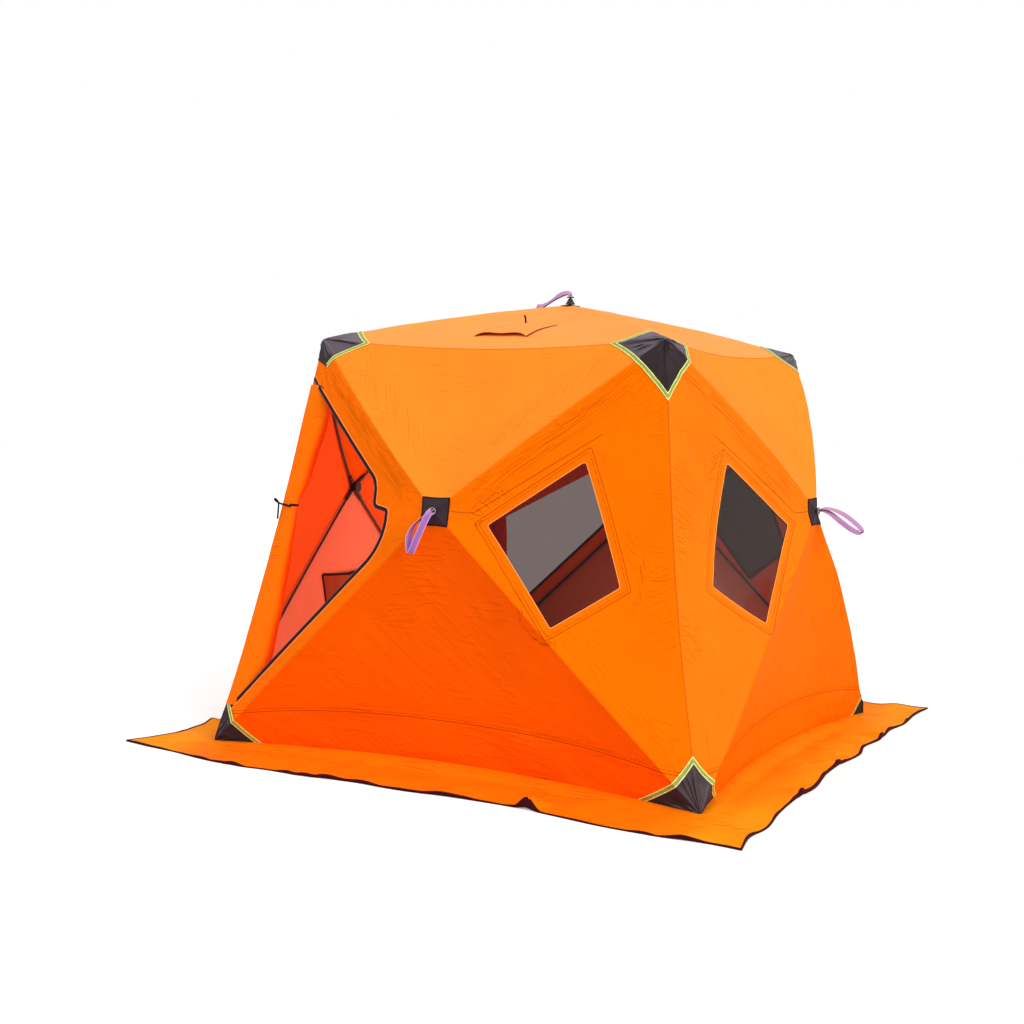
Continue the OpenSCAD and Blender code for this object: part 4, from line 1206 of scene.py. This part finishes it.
for p, (kind, hand) in loopKinds.items():
    keys = np.array(loopRuns[kind], float)
    axes = np.eye(3) if p == roof else np.array([along(p) * hand, outOf(p), up])
    path = hubPoint(p) + curveThrough(keys[:, 0], loopParts["count"]) @ axes
    wide = curveThrough(keys[:, 1], loopParts["count"]) @ axes
    step = tangents(path)
    wide = unit(wide - (wide * step).sum(axis=1, keepdims=True) * step)
    half = loopParts["depth"] / 2
    w = loopParts["width"] / 2
    section = [(-w, -half * 0.6), (-w, half * 0.6), (-w * 0.9, half), (0, half), (w * 0.9, half)]
    section += [(-x, -y) for x, y in section]
    ribbon = bar(path, wide, np.cross(step, wide), section)
    node = panels[p] + "_pull_loop"
    piece = makePiece(node + "_webbing", ribbon, [webbing], [node])
    length = norm(np.diff(path, axis=0), axis=1).sum()
    bolt = hubPoint(p) + outOf(p) * (ringParts["roofHigh"] if p == roof else ringParts["high"])
    ring = ringOf(bolt, outOf(p), ringParts["radius"], ringParts["tube"])
    makePiece(panels[p] + "_hub_ring", ring, [steel])
print("pull loops hang")

# skirts: flaps that lie on the ground round the hut, mitred at the corners, their undersides painted maroon
# as painted shade
skirtParts = dict(cols=190, rows=30, thick=0.0012, low=0.0012, overlap=0.004, boundWide=0.013,
                  boundThick=0.0042, ripple=0.008, edgeRipple=0.008)
# places of the outer edge, as (along the wall, out from the middle of the hut)
skirtEdges = [
    [(-1.406, 1.308), (-1.26, 1.335), (-1.112, 1.352), (-0.93, 1.392), (-0.747, 1.408), (-0.60, 1.396),
     (-0.439, 1.402), (-0.22, 1.378), (0.008, 1.385), (0.24, 1.366), (0.468, 1.366), (0.655, 1.394),
     (0.858, 1.428), (1.089, 1.440), (1.25, 1.430), (1.379, 1.444)],
    [(-1.444, 1.379), (-1.28, 1.352), (-1.129, 1.364), (-0.92, 1.338), (-0.701, 1.327), (-0.48, 1.340),
     (-0.24, 1.312), (-0.065, 1.310), (0.18, 1.332), (0.36, 1.308), (0.537, 1.329), (0.76, 1.318),
     (0.957, 1.339), (1.18, 1.330), (1.402, 1.345)],
    [(-1.345, 1.402), (-1.10, 1.372), (-0.88, 1.384), (-0.62, 1.350), (-0.35, 1.372), (-0.08, 1.346),
     (0.20, 1.362), (0.46, 1.340), (0.74, 1.372), (1.02, 1.352), (1.360, 1.372)],
    [(-1.372, 1.360), (-1.12, 1.342), (-0.86, 1.366), (-0.58, 1.336), (-0.30, 1.352), (0.0, 1.330),
     (0.30, 1.352), (0.58, 1.334), (0.86, 1.362), (1.10, 1.340), (1.308, 1.406)]]
# raised folds: place along the edge, height, half width, reach inwards, and lean of the fold
skirtFolds = [
    [(0.535, 0.052, 0.055, 0.50, 0.10), (-0.42, 0.012, 0.10, 0.4, -0.1), (1.16, 0.016, 0.09, 0.5, 0.1)],
    [(-0.62, 0.030, 0.045, 0.5, 0.1), (-0.05, 0.026, 0.05, 0.5, -0.1), (0.58, 0.030, 0.05, 0.5, 0.1),
     (1.02, 0.016, 0.06, 0.4, 0.0)],
    [(-0.55, 0.030, 0.05, 0.5, 0.1), (0.42, 0.024, 0.06, 0.5, -0.1), (0.95, 0.018, 0.06, 0.4, 0.1)],
    [(-0.50, 0.026, 0.05, 0.5, 0.1), (0.22, 0.030, 0.05, 0.5, -0.1), (0.80, 0.020, 0.06, 0.5, 0.1)]]
cornerCurl = (0.005, 0.004, 0.003, 0.010)  # how far each outer corner lifts off the ground

for k in range(4):
    size = skirtParts
    keys = np.array(skirtEdges[k])
    outer = curveThrough(keys, 400)
    t = np.linspace(0, 1, size["cols"])
    even = evenly(outer, 0.004)
    outer = np.stack([np.interp(t, np.linspace(0, 1, len(even)), even[:, i]) for i in range(2)], axis=1)
    hem = hemLine(k, t)
    inner = hem - outOf(k) * size["overlap"]
    v = np.linspace(0, 1, size["rows"])[:, None]
    u = (inner @ along(k)) * (1 - v) + outer[:, 0] * v
    out = (inner @ outOf(k)) * (1 - v) + outer[:, 1] * v
    mitre = smooth(np.minimum(t, 1 - t) / 0.05)[None, :]
    fall = 1 - smooth(v / 0.30)
    ripples = softNoise(u / 0.085 + 30, v * 1.6 + 5, 200 + k)
    ripples += 0.6 * softNoise((u + out) / 0.19 + 30, v * 2 + 9, 210 + k)
    high = size["ripple"] * np.maximum(ripples + 0.25, 0) * smooth(v / 0.25) * mitre
    high += size["edgeRipple"] * np.maximum(softNoise(u / 0.16 + 60, v * 0 + 1, 220 + k), 0) * v ** 2 * mitre
    for at, tall, half, reach, lean in skirtFolds[k]:
        shift = np.abs(u - at - lean * (1 - v)) / half
        peak = np.maximum(1 - shift, 0) ** 1.1
        high = np.maximum(high, tall * peak * smooth((v - 1 + reach) / reach) * mitre)
    curl = cornerCurl[k] * (1 - smooth(t / 0.10)) + cornerCurl[(k + 1) % 4] * (1 - smooth((1 - t) / 0.10))
    high = high + curl[None, :] * v ** 3
    z = np.maximum(hem[:, 2] * fall, 0) + size["low"] + high
    net = along(k) * u[..., None] + outOf(k) * out[..., None] + up * z[..., None]
    cloth = shellOver(net, size["thick"] / 2, -size["thick"] / 2, core=(0, 0, -50))
    edge = net[-1]
    across = unit(net[-1] - net[-3])
    rise = unit(np.cross(across, tangents(edge)))
    rise = rise * np.sign(rise[:, 2:])
    w = size["boundWide"]
    h = size["boundThick"] / 2
    bound = bar(edge, across, rise, [(-w + 0.002, -h), (-w + 0.002, h), (0.001, h), (0.002, 0), (0.001, -h)])
    # painted light: the skirts are painted paler more than about 1 m left or right of the middle, and deeper
    # elsewhere as painted shade by the walls
    for part in (cloth, bound):
        part[2]["tone"] = smooth((np.abs(part[0][:, 0]) - 0.98) / 0.30)
    # the bound edge rolls under, down towards the ground
    bound[0][3::5, 2] *= 0.6
    bound[0][4::5, 2] *= 0.2
    bound[0][:, 2] = np.maximum(bound[0][:, 2], 0.0001)
    piece = makePiece(walls[k] + "_skirt_cloth", join([(cloth, (0, 1)), (bound, (2,))]),
                      [skirtCloth, shadeUnderside, skirtBinding], [walls[k] + "_skirt"])
print("skirts lie")

# doors: the unzipped cloth rolled up and held against the upright seam by a tie
rollParts = dict(turns=2.6, around=116, rows=170, core=0.24, startTurn=68, thick=0.0012, deep=0.036,
                 wrinkle=0.085, crumple=0.045)
# (height, inner edge's distance from the hut's middle, share of the full depth)
frontRoll = [(1.525, 0.765, 0.1), (1.475, 0.728, 0.5), (1.419, 0.712, 0.75), (1.323, 0.728, 0.95),
             (1.242, 0.757, 1.0), (1.113, 0.788, 1.0), (1.048, 0.818, 0.8), (1.00, 0.828, 0.7),
             (0.94, 0.830, 0.8), (0.856, 0.836, 1.0), (0.681, 0.843, 1.0), (0.587, 0.845, 1.0),
             (0.507, 0.857, 1.0), (0.396, 0.865, 1.0), (0.316, 0.880, 0.95), (0.265, 0.915, 0.85),
             (0.21, 0.960, 0.6), (0.165, 1.000, 0.35)]
backRoll = [(0.97, 0.80, 0.5), (0.93, 0.79, 0.7), (0.86, 0.79, 0.8), (0.77, 0.79, 0.9), (0.70, 0.795, 0.9),
            (0.62, 0.80, 0.85), (0.56, 0.815, 0.95), (0.48, 0.815, 1.0), (0.40, 0.818, 1.0),
            (0.334, 0.828, 1.0), (0.265, 0.866, 0.85), (0.21, 0.915, 0.6), (0.165, 0.962, 0.35)]
doors = {front: dict(roll=frontRoll, seed=300, flat=(0.86, 1.48), tieHeight=1.010),
         back: dict(roll=backRoll, seed=310, flat=(0.86, 0.86), tieHeight=0.62)}
# the lower edge of the back door's upper part: its height at one place, and its slope in degrees
upperEdge = dict(high=0.860, aside=0.821, slope=29, overlap=0.009, behind=0.0004)


# the cloth comes off the upright seam and rises to the roll: (sideways, outward)
rollLead = [(0.038, 0.0010), (0.026, 0.0030), (0.012, 0.0056), (0.000, 0.0078), (-0.010, 0.0092)]


def rollNet(k, hand, stations, seed):
    size = rollParts
    keys = np.array(stations)[::-1]
    z = np.linspace(keys[-1, 0], keys[0, 0], size["rows"])
    inner = np.interp(z, keys[:, 0], keys[:, 1])
    share = np.interp(z, keys[:, 0], keys[:, 2])
    for _ in range(6):
        inner[1:-1] = (inner[:-2] + 2 * inner[1:-1] + inner[2:]) / 4
        share[1:-1] = (share[:-2] + 2 * share[1:-1] + share[2:]) / 4
    down = 1 - z / hut["cornerHeight"]
    c = k if hand < 0 else k + 1
    seam = seamLine(c, down)
    edge = np.abs(seam @ along(k)) - doorCut["strip"] * 1.02
    ends = np.stack([edge * hand, z], axis=1)
    start, _ = onCloth(k, ends)
    plane = start @ outOf(k)
    half = np.maximum((edge - inner) / 2, 0.006)
    middle = edge - half
    deep = np.minimum(size["deep"] * share, half * 1.1 + 0.004)
    turn = np.radians(np.linspace(size["startTurn"], size["startTurn"] + 360 * size["turns"], size["around"]))
    rho = np.linspace(1, size["core"], size["around"])
    rows = []
    for i in range(size["rows"]):
        rise = min(1.0, share[i] * 1.4)
        ripple = 1 + size["wrinkle"] * softNoise(np.degrees(turn) / 36 + 10, z[i] / 0.13 + 0 * turn, seed)
        ripple += size["crumple"] * softNoise(np.degrees(turn) / 15 + 10, z[i] / 0.05 + 0 * turn, seed + 1)
        a = middle[i] + half[i] * rho * ripple * np.cos(turn)
        b = plane[i] + 0.004 * rise - deep[i] * 0.78 + deep[i] * rho * ripple * np.sin(turn)
        row = along(k) * (a * hand)[:, None] + outOf(k) * b[:, None] + up * z[i]
        lead = [start[i] + outOf(k) * high * rise + along(k) * hand * side for side, high in rollLead]
        rows.append(np.vstack([lead, row]))
    return np.array(rows)


def rollPaintedShade(points, k, net):  # painted shade: bright at the roll's crown, painted redder the further the cloth lies behind it
    z = net[::-1, len(rollLead), 2]
    crown = np.interp(points[:, 2], z, (net[::-1] @ outOf(k)).max(axis=1))
    return smooth(1.15 - (crown - points @ outOf(k)) / 0.030)


# the tie's loose end: (sideways, out, up) from the roll
tieTail = [(0.000, 0.000, 0.000), (0.022, 0.002, 0.004), (0.050, 0.004, 0.010), (0.070, 0.012, 0.022),
           (0.062, 0.022, 0.030), (0.050, 0.016, 0.014), (0.052, 0.014, -0.020), (0.056, 0.013, -0.056)]


# A strap that goes once round the roll at one height, with a loose end outside.
def tieRound(net, z, hand, k):
    i = int(np.argmin(np.abs(net[:, 20, 2] - z)))
    ring = net[i, len(rollLead):len(rollLead) + int(rollParts["around"] / rollParts["turns"])]
    middle = ring.mean(axis=0)
    ring = evenly(ring + unit(ring - middle) * 0.0016, 0.006, True)
    tip = np.cumsum(norm(np.diff(ring, axis=0, prepend=ring[:1]), axis=1))
    ring[:, 2] += 0.006 * (1 - tip / tip[-1])
    out = unit(ring - ring.mean(axis=0))
    band = bar(ring, up, out, strap(0.010, 0.0016), True)
    start = net[i, 4] + outOf(k) * 0.002
    axes = np.array([along(k) * hand, outOf(k), up])
    tail = curveThrough([ring[0] + outOf(k) * 0.001, *(start + np.array(tieTail) @ axes)], 80)
    step = tangents(tail)
    wide = unit(np.cross(step, outOf(k)))
    end = bar(tail, wide, np.cross(wide, step), oblong(-0.004, 0.004, -0.0008, 0.0008))
    return join([(band, (0,)), (end, (0,))])


def rollDoor(k):
    size = doors[k]
    net = rollNet(k, doorHand[k], size["roll"], size["seed"])
    roll = shellOver(net, 0.0, -rollParts["thick"])
    roll[2]["tone"] = rollPaintedShade(roll[0], k, net)
    door = walls[k] + "_door"
    piece = makePiece(door + "_rolled_cloth", roll, [doorCloth, doorCloth], [door + "_flap"])
    makePiece(door + "_tie", tieRound(net, size["tieHeight"], doorHand[k], k), [binding])


rollDoor(front)
# the back door is open below only; its upper part hangs just behind the wall
data, tris = fans[back]
size = upperEdge
data, tris = cutAway(data, tris, size["overlap"] - outsideBy(onWallPlane(back, data), doorLine))
flat = onWallPlane(back, data)
slant = size["high"] + (size["aside"] - flat[:, 0]) * math.tan(math.radians(size["slope"]))
data, tris = cutAway(data, tris, flat[:, 1] - slant)
upper = markedShell(back, data, tris, -depth - size["behind"])
piece = makePiece("back_door_upper_cloth", upper, [wallCloth, lining])
rollDoor(back)
print("doors are rolled")

# roof vents: a low flap of cloth over a meshed hole, open towards the eave
ventParts = dict(wide=0.240, long=0.276, eave=0.096, shift=0.020, rise=0.012, dip=0.004, seat=0.0040,
                 tabTall=0.034, tabWide=0.008, cols=37, rows=25, screen=0.170, screenCols=13)
for turned, name in ((1, "front"), (-1, "back")):
    size = ventParts
    rows, cols, grid = size["rows"], size["cols"], size["screenCols"]
    a = np.linspace(-0.5, 0.5, cols)[None, :]
    b = np.linspace(0, 1, rows)[:, None]
    x = (a * size["wide"] + b * 0 + size["shift"]) * turned
    wave = 0.006 * np.cos(a * 3 * math.pi) * (1 - b)
    y = -(hut["top"] / 2 - size["eave"] - b * size["long"] + 0 * a + wave) * turned
    points, _ = onCloth(roof, np.stack([x.ravel(), y.ravel()], axis=1))
    swell = (1 - (2 * np.abs(a)) ** 4) * (1 - b) ** 1.4
    dip = size["dip"] * np.cos(a * 2 * math.pi) * (1 - b) ** 2 * 0.5 * swell
    rise = size["seat"] * (1 - b) + 0.001 + size["rise"] * swell - dip
    net = (points + up * rise.ravel()[:, None]).reshape(rows, cols, 3)
    flap = shellOver(net, 0.0012, 0.0)
    mouth = bar(net[0], up, outOf(front if turned > 0 else back), oblong(-0.001, 0.002, 0.0, 0.002))
    # the hems down the flap's sides are painted maroon: a painted shadow under its raised edges
    hems = [(bar(net[:, at], outOf(right), up, oblong(-0.001, 0.001, -0.004, 0.0016)), (4,))
            for at in (0, -1)]
    x, y = np.meshgrid(*[np.linspace(-0.5, 0.5, grid) * size["screen"]] * 2)
    points, _ = onCloth(roof, np.stack([x.ravel(), y.ravel() - ventHole["out"]], axis=1) * turned)
    screen = shellOver(points.reshape(grid, grid, 3), -0.0015, -0.0022)
    footOut = hut["top"] / 2 - size["eave"] - size["long"] - 0.075
    foot = onCloth(roof, [(-0.046 * turned, -footOut * turned)])[0][0]
    prop = [[0, 0, -0.001], [-0.001, 0, 0.010], [-0.003, 0, 0.022], [-0.007, 0, size["tabTall"]]]
    tab = bar(curveThrough(foot + np.array(prop), 16), outOf(right), [0, -1.0 * turned, 0],
              strap(size["tabWide"], 0.002))
    parts = [(flap, (0, 1)), (mouth, (0,)), *hems, (screen, (2, 2)), (tab, (3,))]
    piece = makePiece(name + "_vent_hood", join(parts), [hoodCloth, lining, meshScreen, binding, shadeUnderside],
                      ["roof_vents"] if turned > 0 else [])
print("vents are sewn on")

# storage pocket on the inside of the left wall
pocketParts = dict(left=-0.019, wide=0.305, low=0.450, tall=0.190, gap=0.0035, bulge=0.017, cols=41, rows=27)
size = pocketParts
a = np.linspace(0, 1, size["cols"])[None, :]
b = np.linspace(0, 1, size["rows"])[:, None]
u = size["left"] + size["wide"] * a + 0 * b
z = size["low"] + size["tall"] * b + 0 * a - 0.008 * np.sin(math.pi * a) * b
points, normals = onCloth(left, np.stack([u.ravel(), z.ravel()], axis=1))
bulge = np.sin(math.pi * a) ** 0.7 * np.sin(math.pi * (0.06 + 0.62 * b)) ** 0.8
bulge = size["bulge"] * bulge * (1 + 0.25 * softNoise(a * 6 + 3, b * 3 + 3, 400))
net = (points - normals * (size["gap"] + bulge.ravel()[:, None])).reshape(size["rows"], size["cols"], 3)
body = shellOver(net, 0.0005, -0.0005, core=(-5, 0, 0.5))
edges = ((net[-1], up), (net[0], up), (net[:, 0], along(left)), (net[:, -1], along(left)))
rims = [(bar(path, sideways, outOf(right), oblong(-0.007, 0.007, -0.0012, 0.0016)), (1,))
        for path, sideways in edges]
piece = makePiece("storage_pocket_cloth", join([(body, (0, 0)), *rims]), [pocketCloth, binding],
                  ["storage_pocket"])
print("pocket hangs")

# poles and hubs keep their built shapes
for name in panels:
    for part, finish in (("_poles", poleGlass), ("_hub", hubNylon)):
        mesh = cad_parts[name + part].data
        mesh.materials.clear()
        mesh.materials.append(finish)
print("poles and hubs are finished")

# floor and light
stageCloth = dict(size=60, floor="#E8E8E8", bounce="#CFCFCF")


def seenDirectly(tree):  # 1 for the camera, in reflections and through the films
    rays = [add(tree, "LightPath", out="Is %s Ray" % kind) for kind in ("Camera", "Glossy", "Transmission")]
    seen = add(tree, "Math", rays[:2], operation="MAXIMUM")
    return add(tree, "Math", [seen, rays[2]], operation="MAXIMUM")


def layFloor():
    mesh = bpy.data.meshes.new("floor")
    h = stageCloth["size"] / 2
    mesh.from_pydata([(-h, -h, 0), (h, -h, 0), (h, h, 0), (-h, h, 0)], [], [(0, 1, 2, 3)])
    floor = bpy.data.objects.new("floor", mesh)
    bpy.context.collection.objects.link(floor)
    finish, tree = newFinish("white studio floor")
    plain = add(tree, "BsdfDiffuse", [stageCloth["bounce"]])
    pale = add(tree, "BsdfDiffuse", [stageCloth["floor"]])
    glow = add(tree, "Emission", ["#FFFFFF", 0.35])
    white = add(tree, "AddShader", [pale, glow])
    shader = add(tree, "MixShader", [seenDirectly(tree), plain, white])
    add(tree, "OutputMaterial", [shader])
    floor.data.materials.append(finish)


def lightWorld():
    world = bpy.data.worlds.new("studio")
    bpy.context.scene.world = world
    world.use_nodes = True
    tree = world.node_tree
    tree.nodes.clear()
    place = add(tree, "TexCoord", out="Generated")
    high = add(tree, "SeparateXYZ", [place], out="Z")
    sky = add(tree, "MapRange", [high, -0.1, 0.9, 0.85, 0.78])
    strength = add(tree, "Mix", {0: seenDirectly(tree), 2: sky, 3: 1.0}, data_type="FLOAT")
    shader = add(tree, "Background", ["#FFFFFF", strength])
    add(tree, "OutputWorld", [shader])


def hangLamp(name, kind, energy, place, target, size):
    data = bpy.data.lights.new(name, kind)
    data.energy = energy
    if kind == "POINT":
        data.shadow_soft_size = size
    else:
        data.angle = size
    lamp = bpy.data.objects.new(name, data)
    lamp.location = place
    lamp.rotation_euler = (Vector(target) - Vector(place)).to_track_quat("-Z", "Y").to_euler()
    lamp.visible_camera = False
    bpy.context.collection.objects.link(lamp)


layFloor()
lightWorld()
middle = (0, 0, 0.8)
hangLamp("soft sun", "SUN", 1.7, (8, -3.2, 5.5), middle, math.radians(40))
hangLamp("fill from the left", "SUN", 0.60, (-8, -3.5, 4), middle, math.radians(60))
# daylight that comes through the orange cloth and brightens the inside
hangLamp("light through the upper cloth", "POINT", 9, (0, 0, 1.25), (0, 0, 0), 0.35)
hangLamp("light through the lower cloth", "POINT", 27, (0.30, 0.40, 0.42), (0, 0, 0), 0.35)
bpy.context.scene.view_settings.view_transform = "Standard"
print("light is set")
